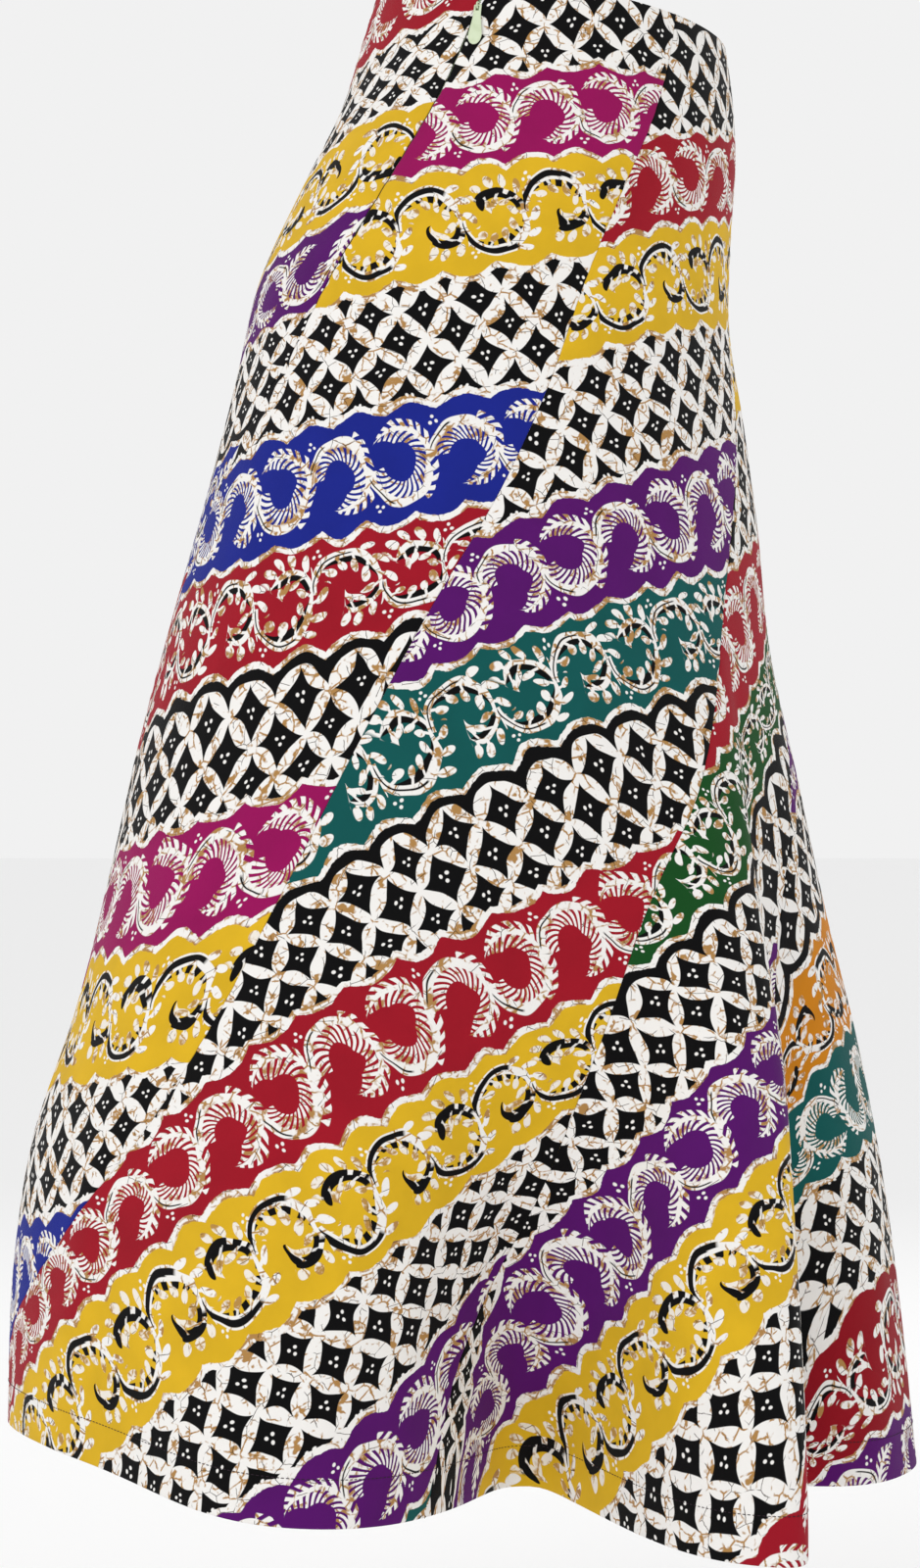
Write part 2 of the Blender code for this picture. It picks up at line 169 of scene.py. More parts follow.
# How an edge turns under: distance from the edge and depth below the face, in millimetres, from the face
# round to the underside. The hem has more rows up its inside.
TURNED_EDGE = ((0.9, 0.0), (0.3, 0.12), (0.03, 0.4), (0.1, 0.75), (0.6, 1.0), (2.5, 1.12), (6.0, TURN_DEPTH))
HEM_ROWS = (12.0, 18.0, HEM_ALLOWANCE + 1.5)


def smooth_column(name, drop):
    """A column of SECTIONS at any drop, on a smooth curve through its rows."""
    drops = np.array([s.drop for s in SECTIONS], float)
    values = np.array([getattr(s, name) for s in SECTIONS], float)
    steps = np.diff(drops)
    slopes = np.diff(values) / steps
    tangents = np.empty_like(values)
    tangents[0] = slopes[0]
    tangents[-1] = slopes[-1]
    tangents[1:-1] = (slopes[:-1] * steps[1:] + slopes[1:] * steps[:-1]) / (steps[:-1] + steps[1:])
    row = int(np.clip(np.searchsorted(drops, drop) - 1, 0, len(steps) - 1))
    t = (drop - drops[row]) / steps[row]
    return (
        (1 + 2 * t) * (1 - t) ** 2 * values[row]
        + t * (1 - t) ** 2 * steps[row] * tangents[row]
        + t**2 * (3 - 2 * t) * values[row + 1]
        + t**2 * (t - 1) * steps[row] * tangents[row + 1]
    )


def degrees_from(centre, azimuth):
    """How far azimuths in radians lie from one in degrees, in degrees from -180 to 180."""
    return (np.degrees(azimuth) - centre + 180) % 360 - 180


def fold_sums(azimuth, drop):
    """How far the folds move the cloth out, and how far down, at these azimuths, in millimetres."""
    out = np.zeros_like(azimuth)
    down = np.zeros_like(azimuth)
    for fold in FOLDS:
        share = (drop - fold.start_drop) / (SKIRT_DROP - fold.start_drop)
        if share <= 0:
            continue
        centre = fold.start_azimuth + (fold.hem_azimuth - fold.start_azimuth) * share
        away = degrees_from(centre, azimuth)
        shape = share**FOLD_GROWTH * np.exp(-np.abs(away / fold.half_width) ** fold.squareness)
        out += fold.depth * shape
        down += fold.sag * shape
    return out, down


def ring(azimuth, drop):
    """Points of the cloth at these azimuths, at one drop below the waist."""
    back = smooth_column("back", drop)
    front = smooth_column("front", drop)
    half_width = smooth_column("half_width", drop)
    centre_x = (front - back) / 2
    half_depth = (front + back) / 2
    out, down = fold_sums(azimuth, drop)
    power = np.where(np.sin(azimuth) < 0, smooth_column("back_squareness", drop), 2.0)
    along_depth = np.abs(np.sin(azimuth) / half_depth) ** power
    along_width = np.abs(np.cos(azimuth) / half_width) ** power
    radius = out + (along_depth + along_width) ** (-1 / power)
    x = centre_x + radius * np.sin(azimuth)
    y = -radius * np.cos(azimuth)
    z = -drop - down - smooth_column("dip", drop) * x
    return np.stack([x, y, z], axis=-1)


@functools.lru_cache(maxsize=None)
def ring_length(drop):
    """Azimuths all round one ring, and the length of cloth up to each of them."""
    dense = np.linspace(-math.pi, math.pi, RING_SAMPLES + 1)
    points = ring(dense, drop)
    return dense, np.concatenate([[0], np.cumsum(np.linalg.norm(np.diff(points, axis=0), axis=1))])


@functools.lru_cache(maxsize=None)
def seam_share(seam, drop):
    """Where a seam lies, as a share of the cloth's length round the ring, counted from seam 2.

    Seams 1 to 4 are placed by their azimuths. Seams 5 and 6 divide the rest of the ring equally.
    """
    dense, length = ring_length(drop)
    placed = {
        k: np.interp(math.radians(smooth_column(f"seam_{k}", drop)), dense, length) / length[-1]
        for k in (1, 2, 3, 4)
    }
    if seam in placed:
        return (placed[seam] - placed[2]) % 1.0
    equal_gores = GORES - 3
    return placed[4] - placed[2] + (seam - 4) % GORES * (placed[1] + 1 - placed[4]) / equal_gores


def azimuths_of(shares, drop):
    """Azimuths of places given as shares of the cloth's length round the ring, counted from seam 2."""
    dense, length = ring_length(drop)
    start = np.interp(math.radians(smooth_column("seam_2", drop)), dense, length)
    return np.interp((start + shares * length[-1]) % length[-1], length, dense)


def crease_height(azimuth, drop):
    """How far the fine creases stand out of the cloth at these azimuths, in millimetres."""
    height = np.zeros_like(azimuth)
    for crease in CREASES:
        t = (drop - crease.top_drop) / (crease.low_drop - crease.top_drop)
        if not 0 < t < 1:
            continue
        centre = crease.top_azimuth + (crease.low_azimuth - crease.top_azimuth) * t
        away = degrees_from(centre, azimuth)
        radius = np.linalg.norm(ring(np.radians(np.array([centre])), drop)[0, :2])
        across = np.radians(away) * radius / crease.half_width
        height += crease.height * math.sin(math.pi * t) ** CREASE_BLUNTNESS * np.exp(-(across**2))
    return height


def outward(azimuth, drop):
    """Outward normals of the cloth, without its creases, at these azimuths."""
    along = ring(azimuth + NORMAL_TURN, drop) - ring(azimuth - NORMAL_TURN, drop)
    down = ring(azimuth, drop + NORMAL_STEP) - ring(azimuth, drop - NORMAL_STEP)
    normal = np.cross(down, along)
    return normal / np.linalg.norm(normal, axis=1, keepdims=True)


def cloth(shares, drop):
    """Points and outward normals of the creased cloth at shares of one ring."""
    azimuth = azimuths_of(np.asarray(shares, float), drop)
    normal = outward(azimuth, drop)
    return ring(azimuth, drop) + normal * crease_height(azimuth, drop)[:, None], normal


def half_parting(parting, drop):
    """Half the gap across the zip at one drop, from the parting at the waist and at the neck."""
    drops = [0, NECK_DROP, ZIP_MEETS_DROP, ZIP_END_DROP, ZIP_END_DROP + SLIT_RUN_OUT]
    return np.interp(drop, drops, [*parting, ZIP_SLIT, ZIP_SLIT, 0.0]) / 2


def seams_of(gore, drop):
    """Shares of the ring at a gore's two seams."""
    first = seam_share(gore, drop)
    last = seam_share((gore + 1) % GORES, drop)
    return first, last + 1 if last < first else last


def gore_span(gore, drop):
    """Shares of the ring at which a gore's cloth starts and ends, and the ring's length."""
    length = ring_length(drop)[1][-1]
    first, last = seams_of(gore, drop)
    gap = half_parting(CLOTH_PARTING, drop) / length
    if gore == ZIP_SEAM:
        first += gap
    if (gore + 1) % GORES == ZIP_SEAM:
        last -= gap
    return first, last, length


def turned_strip(length, steps, near, far):
    """Distance and depth of points along a strip, with near and far ones on its turned-under ends."""
    edge = TURNED_EDGE[0][0]
    near, far = ([*TURNED_EDGE, *((d, TURN_DEPTH) for d in places)] for places in (near, far))
    face = [(d, 0.0) for d in np.linspace(edge, length - edge, steps + 1)[1:-1]]
    return near[::-1] + face + [(length - d, depth) for d, depth in far]


def shell_grid(gore):
    """Points of a gore's shell in millimetres, and each point's share across the gore and drop."""
    points, places = [], []
    for drop, row_depth in turned_strip(SKIRT_DROP, MAIN_ROWS, [WAIST_TURN], HEM_ROWS):
        first, last, length = gore_span(gore, drop)
        width = (last - first) * length
        columns = np.array(turned_strip(width, MAIN_COLUMNS, [SEAM_ALLOWANCE], [SEAM_ALLOWANCE]))
        shares = first + columns[:, 0] / length
        face, normal = cloth(shares, drop)
        edge = np.minimum(columns[:, 0], width - columns[:, 0])
        pucker = PUCKER_HEIGHT * np.exp(-edge / PUCKER_REACH) * math.sin(2 * math.pi * drop / PUCKER_PITCH)
        depth = np.maximum(columns[:, 1], row_depth) - pucker
        points.append(face - normal * depth[:, None])
        places.append(np.stack([columns[:, 0] / width, np.full(len(columns), drop)], axis=1))
    return np.array(points), np.array(places)


def mesh_of(name, points, faces):
    """A mesh of points in millimetres."""
    mesh = bpy.data.meshes.new(name)
    mesh.from_pydata((points.reshape(-1, 3) * MM).tolist(), [], faces)
    return mesh


def grid_mesh(name, points):
    """A mesh of quads on a grid of points, facing out of the skirt."""
    rows, columns = points.shape[:2]
    index = np.arange(rows * columns).reshape(rows, columns)
    quads = np.stack([index[:-1, :-1], index[1:, :-1], index[1:, 1:], index[:-1, 1:]], axis=-1)
    return mesh_of(name, points, quads.reshape(-1, 4).tolist())


def add_object(name, data):
    """A new object in the scene."""
    added = bpy.data.objects.new(name, data)
    bpy.context.scene.collection.objects.link(added)
    return added


def add_piece(name, mesh, finish):
    """A new object with smooth faces of one finish."""
    mesh.shade_smooth()
    mesh.materials.append(finish)
    return add_object(name, mesh)


def corner_vertices(mesh):
    """The vertex at each corner of the mesh's faces."""
    corners = np.zeros(len(mesh.loops), np.int32)
    mesh.loops.foreach_get("vertex_index", corners)
    return corners


def set_uv(mesh, name, values):
    """A UV map of one value for each vertex of the mesh."""
    layer = mesh.uv_layers.new(name=name)
    corners = values.reshape(-1, 2)[corner_vertices(mesh)]
    layer.data.foreach_set("uv", corners.astype(np.float32).ravel())


# Laying a gore flat, on a coarse grid, and measuring its cut
FLAT_ROWS = 90
FLAT_COLUMNS = 24
CUT_SAMPLES = 110

# Where a border between two bands of the print crosses a gore laid flat. across is the border's place in the
# print. The rest are three points on it, from left to right: how far right of the middle of the gore's waist
# edge and how far below it they lie. Where across falls on the way down, the print stands on its head.
COURSES = table(
    "gore across left_x left_y middle_x middle_y right_x right_y",
    (1, 272, -45, 54, 0, 45, 55, 20),
    (1, 200, -35, 122, 10, 98, 57, 82),
    (1, 132, -40, 190, 5, 180, 52, 152),
    (1, 70, -42, 238, -5, 234, 35, 222),
    (1, 0, -45, 312, -20, 304, 0, 297),
    (2, 70, -82, 69, -25, 56, 50, 42),
    (2, 132, -105, 129, -35, 115, 38, 97),
    (2, 200, -147, 208, -70, 192, 15, 166),
    (2, 272, -215, 292, -110, 272, -5, 247),
    (2, 340, -260, 360, -150, 356, -30, 319),
    (2, 400, -265, 440, -165, 427, -67, 393),
    (2, 470, -275, 516, -190, 516, -105, 490),
    (2, 532, -300, 576, -215, 588, -135, 570),
    (2, 600, -307, 655, -240, 666, -172, 655),
    (2, 672, -327, 729, -280, 738, -230, 730),
    (3, 70, -95, 76, -50, 69, 0, 62),
    (3, 132, -135, 145, -60, 123, 0, 114),
    (3, 200, -180, 222, -90, 194, 0, 180),
    (3, 272, -232, 311, -130, 280, -15, 247),
    (3, 340, -295, 392, -180, 362, -60, 334),
    (3, 400, -367, 495, -230, 441, -100, 404),
    (3, 470, -500, 622, -320, 549, -150, 497),
    (3, 532, -650, 710, -420, 656, -190, 572),
    (3, 600, -557, 775, -380, 720, -220, 642),
    (3, 672, -475, 822, -370, 786, -275, 725),
    (4, 272, -240, 306, -205, 296, -172, 294),
    (4, 340, -310, 398, -245, 380, -180, 352),
    (4, 400, -445, 474, -350, 468, -220, 407),
    (4, 470, -610, 545, -500, 553, -375, 540),
    (4, 532, -715, 598, -560, 622, -410, 598),
    (4, 600, -630, 700, -550, 696, -472, 675),
    (4, 672, -580, 778, -540, 768, -490, 735),
    (5, 400, -600, 430, -530, 404, -472, 412),
    (5, 340, -615, 455, -565, 452, -505, 473),
    (5, 272, -650, 495, -590, 506, -535, 536),
    (5, 200, -725, 590, -655, 562, -580, 595),
    (5, 132, -745, 622, -695, 633, -635, 658),
    (6, 70, -95, 80, -40, 68, 15, 58),
    (6, 470, -480, 560, -320, 505, -170, 455),
)


@functools.lru_cache(maxsize=None)
def flattened(gore):
    """A gore laid flat: points in millimetres on a coarse grid, x to the right and y down the gore."""
    drops = np.linspace(0, SKIRT_DROP, FLAT_ROWS + 1)
    points = []
    for drop in drops:
        first, last = seams_of(gore, drop)
        points.append(cloth(np.linspace(first, last, FLAT_COLUMNS + 1), drop)[0])
    points = np.array(points)
    mesh = grid_mesh("laid_flat", points)
    pattern = add_object("laid_flat", mesh)
    bpy.ops.object.select_all(action="DESELECT")
    bpy.context.view_layer.objects.active = pattern
    pattern.select_set(True)
    mesh.uv_layers.new(name="flat")
    bpy.ops.object.mode_set(mode="EDIT")
    bpy.ops.mesh.select_all(action="SELECT")
    bpy.ops.uv.unwrap(method="ANGLE_BASED", margin=0.001)
    bpy.ops.object.mode_set(mode="OBJECT")
    spread = np.zeros(len(mesh.loops) * 2, np.float32)
    mesh.uv_layers["flat"].data.foreach_get("uv", spread)
    flat = np.zeros((len(mesh.vertices), 2))
    flat[corner_vertices(mesh)] = spread.reshape(-1, 2)
    flat = flat.reshape(*points.shape[:2], 2)
    bpy.data.objects.remove(pattern, do_unlink=True)
    flat *= edge_lengths(points) / edge_lengths(flat)
    run = flat[0, -1] - flat[0, 0]
    cosine, sine = run / np.hypot(*run)
    flat = (flat - flat[0].mean(axis=0)) @ np.array([[cosine, -sine], [sine, cosine]])
    if flat[-1, :, 1].mean() < 0:
        flat[..., 1] *= -1
    return flat, drops


def edge_lengths(grid):
    """Length of all the edges of a grid of points."""
    return sum(np.linalg.norm(np.diff(grid, axis=axis), axis=-1).sum() for axis in (0, 1))


def cross(a, b):
    """The cross product of flat vectors."""
    return a[..., 0] * b[..., 1] - a[..., 1] * b[..., 0]


def course_y(course, x, slope_beyond):
    """How far down a border lies at these places x: a parabola through its points, straight beyond them."""
    x0, x1, x2 = course.left_x, course.middle_x, course.right_x
    y0, y1, y2 = course.left_y, course.middle_y, course.right_y
    inside = np.clip(x, x0, x2)
    bend = ((y2 - y1) / (x2 - x1) - (y1 - y0) / (x1 - x0)) / (x2 - x0)
    slope = (y1 - y0) / (x1 - x0)
    y = y0 + slope * (inside - x0) + bend * (inside - x0) * (inside - x1)
    return y + slope_beyond * (x - inside)


def print_across(gore, flat):
    """How far across the print each point of a flat gore lies, in millimetres."""
    courses = [c for c in COURSES if c.gore == gore + 1]
    x, y = flat[..., 0], flat[..., 1]
    slope = np.mean([(c.right_y - c.left_y) / (c.right_x - c.left_x) for c in courses])
    downs = np.array([course_y(c, x, slope) for c in courses])
    acrosses = np.array([c.across for c in courses], float)
    sign = 1.0 if acrosses[-1] > acrosses[0] else -1.0
    above, below = acrosses[0] + sign * (y - downs[0]), acrosses[-1] + sign * (y - downs[-1])
    across = np.where(y < downs[0], above, below)
    for k in range(len(courses) - 1):
        between = (y >= downs[k]) & (y < downs[k + 1])
        t = (y - downs[k]) / np.maximum(downs[k + 1] - downs[k], 1e-6)
        across = np.where(between, acrosses[k] + (acrosses[k + 1] - acrosses[k]) * t, across)
    return across


def print_along(flat, across):
    """How far along the print each point lies: the distance run along the bands from the gore's middle."""
    right, down = np.gradient(flat, axis=1), np.gradient(flat, axis=0)
    rise_right, rise_down = np.gradient(across, axis=1), np.gradient(across, axis=0)
    area = cross(right, down)
    slope_x = (rise_right * down[..., 1] - rise_down * right[..., 1]) / area
    slope_y = (rise_down * right[..., 0] - rise_right * down[..., 0]) / area
    run = np.stack([slope_y, -slope_x], axis=-1)
    run /= np.linalg.norm(run, axis=-1, keepdims=True) + 1e-9
    steps = (np.diff(flat, axis=1) * (run[:, 1:] + run[:, :-1]) / 2).sum(axis=2)
    walked = np.pad(np.cumsum(steps, axis=1), ((0, 0), (1, 0)))
    middle = across.shape[1] // 2
    steps_down = np.diff(flat[:, middle], axis=0) * (run[1:, middle] + run[:-1, middle]) / 2
    walked_down = np.pad(np.cumsum(steps_down.sum(axis=1)), (1, 0))
    return walked_down[:, None] + walked - walked[:, [middle]]


def print_places(gore, places):
    """Along and across places in the print, in metres, of points given by share across the gore and drop."""
    flat, drops = flattened(gore)
    across = print_across(gore, flat)
    grid = np.stack([print_along(flat, across), across], axis=-1)
    row = np.interp(places[..., 1:], drops, np.arange(len(drops)))
    column = np.clip(places[..., :1], 0, 1) * FLAT_COLUMNS
    j = np.clip(row.astype(int), 0, FLAT_ROWS - 1)
    i = np.clip(column.astype(int), 0, FLAT_COLUMNS - 1)
    t, s = row - j, column - i
    j, i = j[..., 0], i[..., 0]
    upper = grid[j, i] * (1 - s) + grid[j, i + 1] * s
    lower = grid[j + 1, i] * (1 - s) + grid[j + 1, i + 1] * s
    return (upper * (1 - t) + lower * t) * MM


def build_gore(gore, finish):
    """The thin shell of one gore, with UV maps for its print and its baked looks."""
    name = f"cloth_gore_{gore + 1}"
    points, places = shell_grid(gore)
    mesh = grid_mesh(name, points)
    rows, columns = points.shape[:2]
    low, high = SHEET_MARGIN, 1 - SHEET_MARGIN
    sheet_place = np.meshgrid(np.linspace(low, high, columns), np.linspace(high, low, rows))
    set_uv(mesh, "OFBake", np.stack(sheet_place, axis=-1))
    set_uv(mesh, "print", print_places(gore, places))
    shell = add_piece(name, mesh, finish)
    thick = shell.modifiers.new("cloth_thickness", "SOLIDIFY")
    thick.thickness = CLOTH_THICK * MM
    thick.offset = -1.0
    thick.use_even_offset = False
    return shell


def cut_size(gore):
    """Width, length and area of a gore's cut in metres, with its seam and hem allowances."""
    widths, centres = [], []
    for drop in np.linspace(0, SKIRT_DROP, CUT_SAMPLES):
        first, last, length = gore_span(gore, drop)
        widths.append((last - first) * length + 2 * SEAM_ALLOWANCE)
        centres.append(cloth([(first + last) / 2], drop)[0][0])
    flat = flattened(gore)[0]
    face = np.abs(cross(np.diff(flat, axis=1)[:-1], np.diff(flat, axis=0)[:, :-1])).sum()
    run = np.linalg.norm(np.diff(np.array(centres), axis=0), axis=1).sum()
    turned = 2 * SEAM_ALLOWANCE * run + widths[-1] * HEM_ALLOWANCE + widths[0] * WAIST_TURN
    return max(widths) * MM, (run + HEM_ALLOWANCE + WAIST_TURN) * MM, (face + turned) * MM * MM


# The print, in millimetres: its repeat and the place across where it starts, and the cells along a band that
# hold one figure each
REPEAT = 400.0
WRAP_LOW = -30.0
CELL = 37.5
CELL_SQUASH = 0.88
EDGE_BLUR = 0.35
SHARP = 0.02

# A border between two bands of the print: its place across, the side that its lobes bulge to (1 is towards
# larger places), their pitch, their height, and how far along the first lobe lies.
BORDERS = table(
    "across side pitch height first",
    (0, -1, 31.0, 6.5, 0.0),
    (70, 1, 31.0, 5.5, 0.0),
    (132, -1, 28.0, 5.5, 6.0),
    (200, 1, 31.0, 5.5, 0.0),
    (272, -1, 31.0, 6.0, 15.0),
    (340, 1, 28.0, 5.5, 9.0),
)
LOBE_MEAN = 0.64
BORDER_LINE = 2.0
BORDER_CLEAR = 2.9

# The bands across the print are lower vine, upper net, upper scroll, upper vine, lower net, lower scroll and
# lower vine again. First, where the figures and the nets change over behind bands that hide it. Then the
# middles of the figures in each figured band.
IN_UPPER_NET, BETWEEN_NETS, IN_LOWER_NET = 35.0, 136.0, 236.0
FIGURE_CENTRES = (WRAP_LOW, 101.0, 166.0, 306.0, REPEAT + WRAP_LOW)
FIGURE_SPECKS = ((-16.9, 20.6), (-13.5, 21.1), (-15.2, 23.8))
FIGURE_SPECK = 0.95

# The net: the first row of crosses in each, the pitch and rise of its mesh, the petals and the dots in a cell
UPPER_NET_START, LOWER_NET_START = 40.7, 232.7
NET_PITCH = 31.0
NET_RISE = 18.2
PETAL_HALF_WIDTH = 4.1
LOWER_PETAL_EXTRA = 0.5
PETAL_HALF_LENGTH = 12.1
PETAL_BLUNTNESS = 0.7
UPPER_NET_INSET = 8.0
NET_SPECKS = ((-1.9, -1.3), (1.9, -1.5), (0.1, 2.0))
NET_SPECK = 1.0

# Random fields over the print: size in millimetres, detail, and an offset that sets each apart. Then how far
# the first two move the print, and the sizes of its coarse and fine cracks.
FIELDS = {
    "sway": (24.0, 1.0, 0.0),
    "drift": (26.0, 1.0, 40.0),
    "rough": (3.0, 2.0, 11.0),
    "patches": (7.0, 2.0, 3.0),
    "dark": (9.0, 1.0, 21.0),
    "mottle": (30.0, 3.0, 7.0),
}
SWAY = 9.0
CRACK_SIZE, FINE_CRACK_SIZE = 7.5, 11.0
FINE_CRACK_SHIFT = 50.0

# Angles of a figure, in radians: 0 is where the arch meets the right side of its cell, and the curl goes on
# below it. The outside of the arch's right end reaches into the next cell. The curls of figures that stand
# upright and on their heads differ: a pair is the mean, and what is added upright and taken off on its head.
CURL_START = -0.25
FRINGE_END = 1.05
CURL_END = (-2.1, -0.3)
SCROLL_FALL = (0.9, -0.6)
VINE_FALL = (4.6, -1.6)
BARBS_PER_TURN = 23
BARB_SHARE = 0.54
BARB_REACH = 4.6
OUTER_SWEEP = 0.16
INNER_SWEEP = -0.21

# A row of club-shaped leaves along a stem: how many go to a full turn, how far they reach, half the length of
# the head, the sweep in turns per millimetre, and where in the turn they start.
Leaves = namedtuple("Leaves", "per_turn reach half_head sweep shift")
OUTER_LEAVES = Leaves(15, 8.6, 3.3, 0.07, 0.0)
INNER_LEAVES = Leaves(10, 9.8, 2.8, 0.06, 0.4)
STALK_HALF_WIDTH = 0.85
HEAD_HALF_WIDTH = 2.5


def linear(colour):
    """Scene-linear values of a colour given as seen on screen."""
    return tuple(c / 12.92 if c <= 0.04045 else ((c + 0.055) / 1.055) ** 2.4 for c in colour)


class Term:
    """A number that varies over a surface, with arithmetic that adds nodes to its shader."""

    def __init__(self, tree, socket):
        self.tree = tree
        self.socket = socket

    def math(self, operation, *others):
        node = self.tree.nodes.new("ShaderNodeMath")
        node.operation = operation
        for slot, value in zip(node.inputs, (self, *others)):
            if isinstance(value, Term):
                self.tree.links.new(value.socket, slot)
            else:
                slot.default_value = value
        return Term(self.tree, node.outputs[0])

    def constant(self, value):
        """A plain number as a term of the same shader."""
        node = self.tree.nodes.new("ShaderNodeValue")
        node.outputs[0].default_value = value
        return Term(self.tree, node.outputs[0])

    __add__ = __radd__ = functools.partialmethod(math, "ADD")
    __sub__ = functools.partialmethod(math, "SUBTRACT")
    __rsub__ = functools.partialmethod(math, "MULTIPLY_ADD", -1.0)
    __mul__ = __rmul__ = functools.partialmethod(math, "MULTIPLY")
    __truediv__ = functools.partialmethod(math, "DIVIDE")
    __neg__ = functools.partialmethod(math, "MULTIPLY", -1.0)
    __abs__ = functools.partialmethod(math, "ABSOLUTE")

    def fraction(self):
        """This less the whole number below it."""
        return self - self.math("FLOOR")

    def clamped(self):
        """This, kept between 0 and 1."""
        return self.math("MINIMUM", 1.0).math("MAXIMUM", 0.0)

    def distance(self, other):
        """Distance from the origin of the place given by this and another number."""
        return (self * self + other * other).math("SQRT")

    def over(self, limit, blur=EDGE_BLUR):
        """1 where this is larger than a limit, 0 where it is smaller, blurred over a width."""
        node = self.tree.nodes.new("ShaderNodeMapRange")
        node.clamp = True
        self.tree.links.new(self.socket, node.inputs["Value"])
        for name, shift in (("From Min", -blur / 2), ("From Max", blur / 2)):
            if isinstance(limit, Term):
                self.tree.links.new((limit + shift).socket, node.inputs[name])
            else:
                node.inputs[name].default_value = limit + shift
        return Term(self.tree, node.outputs["Result"])

    def under(self, limit, blur=EDGE_BLUR):
        return 1 - self.over(limit, blur)

    def between(self, low, high, blur=EDGE_BLUR):
        return self.over(low, blur) * self.under(high, blur)


def either(first, *others):
    for other in others:
        first = first.math("MAXIMUM", other)
    return first


def set_values(node, **values):
    """Plain values of a node's inputs, named with underscores for spaces."""
    for name, value in values.items():
        node.inputs[name.replace("_", " ")].default_value = value


def flat_place(tree, along, across, offset=0.0):
    """A place for a texture node. Different offsets give fields that don't match."""
    place = tree.nodes.new("ShaderNodeCombineXYZ")
    tree.links.new(along.socket, place.inputs[0])
    tree.links.new(across.socket, place.inputs[1])
    place.inputs[2].default_value = offset
    return place.outputs[0]


def noise(tree, along, across, size, detail, offset=0.0):
    """A smooth random field with features of a size in millimetres."""
    node = tree.nodes.new("ShaderNodeTexNoise")
    node.noise_dimensions = "3D"
    set_values(node, Scale=1 / size, Detail=detail)
    tree.links.new(flat_place(tree, along, across, offset), node.inputs["Vector"])
    return Term(tree, node.outputs["Fac"])


def cracks(tree, along, across, size):
    """Distance to the nearest of a net of random cracks, in millimetres."""
    node = tree.nodes.new("ShaderNodeTexVoronoi")
    node.voronoi_dimensions = "2D"
    node.feature = "DISTANCE_TO_EDGE"
    set_values(node, Scale=1 / size)
    tree.links.new(flat_place(tree, along, across), node.inputs["Vector"])
    return Term(tree, node.outputs["Distance"]) * size


def dots(x, y, places, radius):
    """Round dots at these places, as a mask."""
    nearest = None
    for px, py in places:
        dx, dy = x - px, y - py
        gap = dx * dx + dy * dy
        nearest = gap if nearest is None else nearest.math("MINIMUM", gap)
    return nearest.under(radius**2, radius * 0.8)


def petal_net(along, down, half_width):
    """White petals that meet in crosses on a slanted net, and the dots in its cells, as masks."""
    length = math.hypot(NET_PITCH / 2, NET_RISE)
    spacing = NET_PITCH * NET_RISE / length
    u = (along / NET_PITCH + down / (2 * NET_RISE)).fraction() - 0.5
    v = (along / NET_PITCH - down / (2 * NET_RISE)).fraction() - 0.5
    petals = []
    for side, run in ((u, v), (v, u)):
        off = (0.5 - abs(side)) * spacing
        share = abs(run) * (length / PETAL_HALF_LENGTH)
        width = (1 - share * share).math("MAXIMUM", 0.0).math("POWER", PETAL_BLUNTNESS) * half_width
        petals.append((width - off).over(0.0))
    return either(*petals), dots((u + v) * (NET_PITCH / 2), (u - v) * NET_RISE, NET_SPECKS, NET_SPECK)


def club_leaves(angle, radius, off, leaves):
    """Club-shaped leaves on one side of a stem, as a mask. off is the distance outward from the stem."""
    turn = angle * (leaves.per_turn / (2 * math.pi)) + off * leaves.sweep + leaves.shift
    along = (turn.fraction() - 0.5) * radius * (2 * math.pi / leaves.per_turn)
    head_place = leaves.reach - leaves.half_head
    stalk = abs(along).under(STALK_HALF_WIDTH) * off.between(0.0, head_place)
    across = (off - head_place) / leaves.half_head
    wide = along / HEAD_HALF_WIDTH
    return either(stalk, (wide * wide + across * across).under(1.0, 0.2))


def blended(tree, base, top, share):
    """A colour part of the way from one to another. A colour is a socket or three numbers."""
    node = tree.nodes.new("ShaderNodeMix")
    node.data_type = "RGBA"
    tree.links.new(share.socket, node.inputs[0])
    for slot, colour in ((node.inputs[6], base), (node.inputs[7], top)):
        if isinstance(colour, tuple):
            slot.default_value = (*colour, 1)
        else:
            tree.links.new(colour, slot)
    return node.outputs[2]


def off_spine(angle, radius, fall_rate):
    """Distance outward from a figure's spine: an arch, and the curl that spirals in from its right end."""
    fall = (CURL_START - angle).math("MAXIMUM", 0.0)
    return radius - (CELL / 2 - fall * fall_rate)


def barbs(angle, off, sweep):
    """Swept barbs of a feather, as a mask. off is the distance from its spine."""
    turn = angle * (BARBS_PER_TURN / (2 * math.pi)) + off * sweep
    return turn.fraction().under(BARB_SHARE, 0.12)


def arch_fringe(angle, radius, in_vine):
    """The leaves or barbs outside the arch's right end, which reach into the next cell."""
    arch = radius - CELL / 2
    leaves = club_leaves(angle, radius, arch, OUTER_LEAVES) * in_vine
    feather = arch.between(0.0, BARB_REACH) * barbs(angle, arch, OUTER_SWEEP) * (1 - in_vine)
    return either(leaves, feather) * angle.between(CURL_START, FRINGE_END, SHARP)


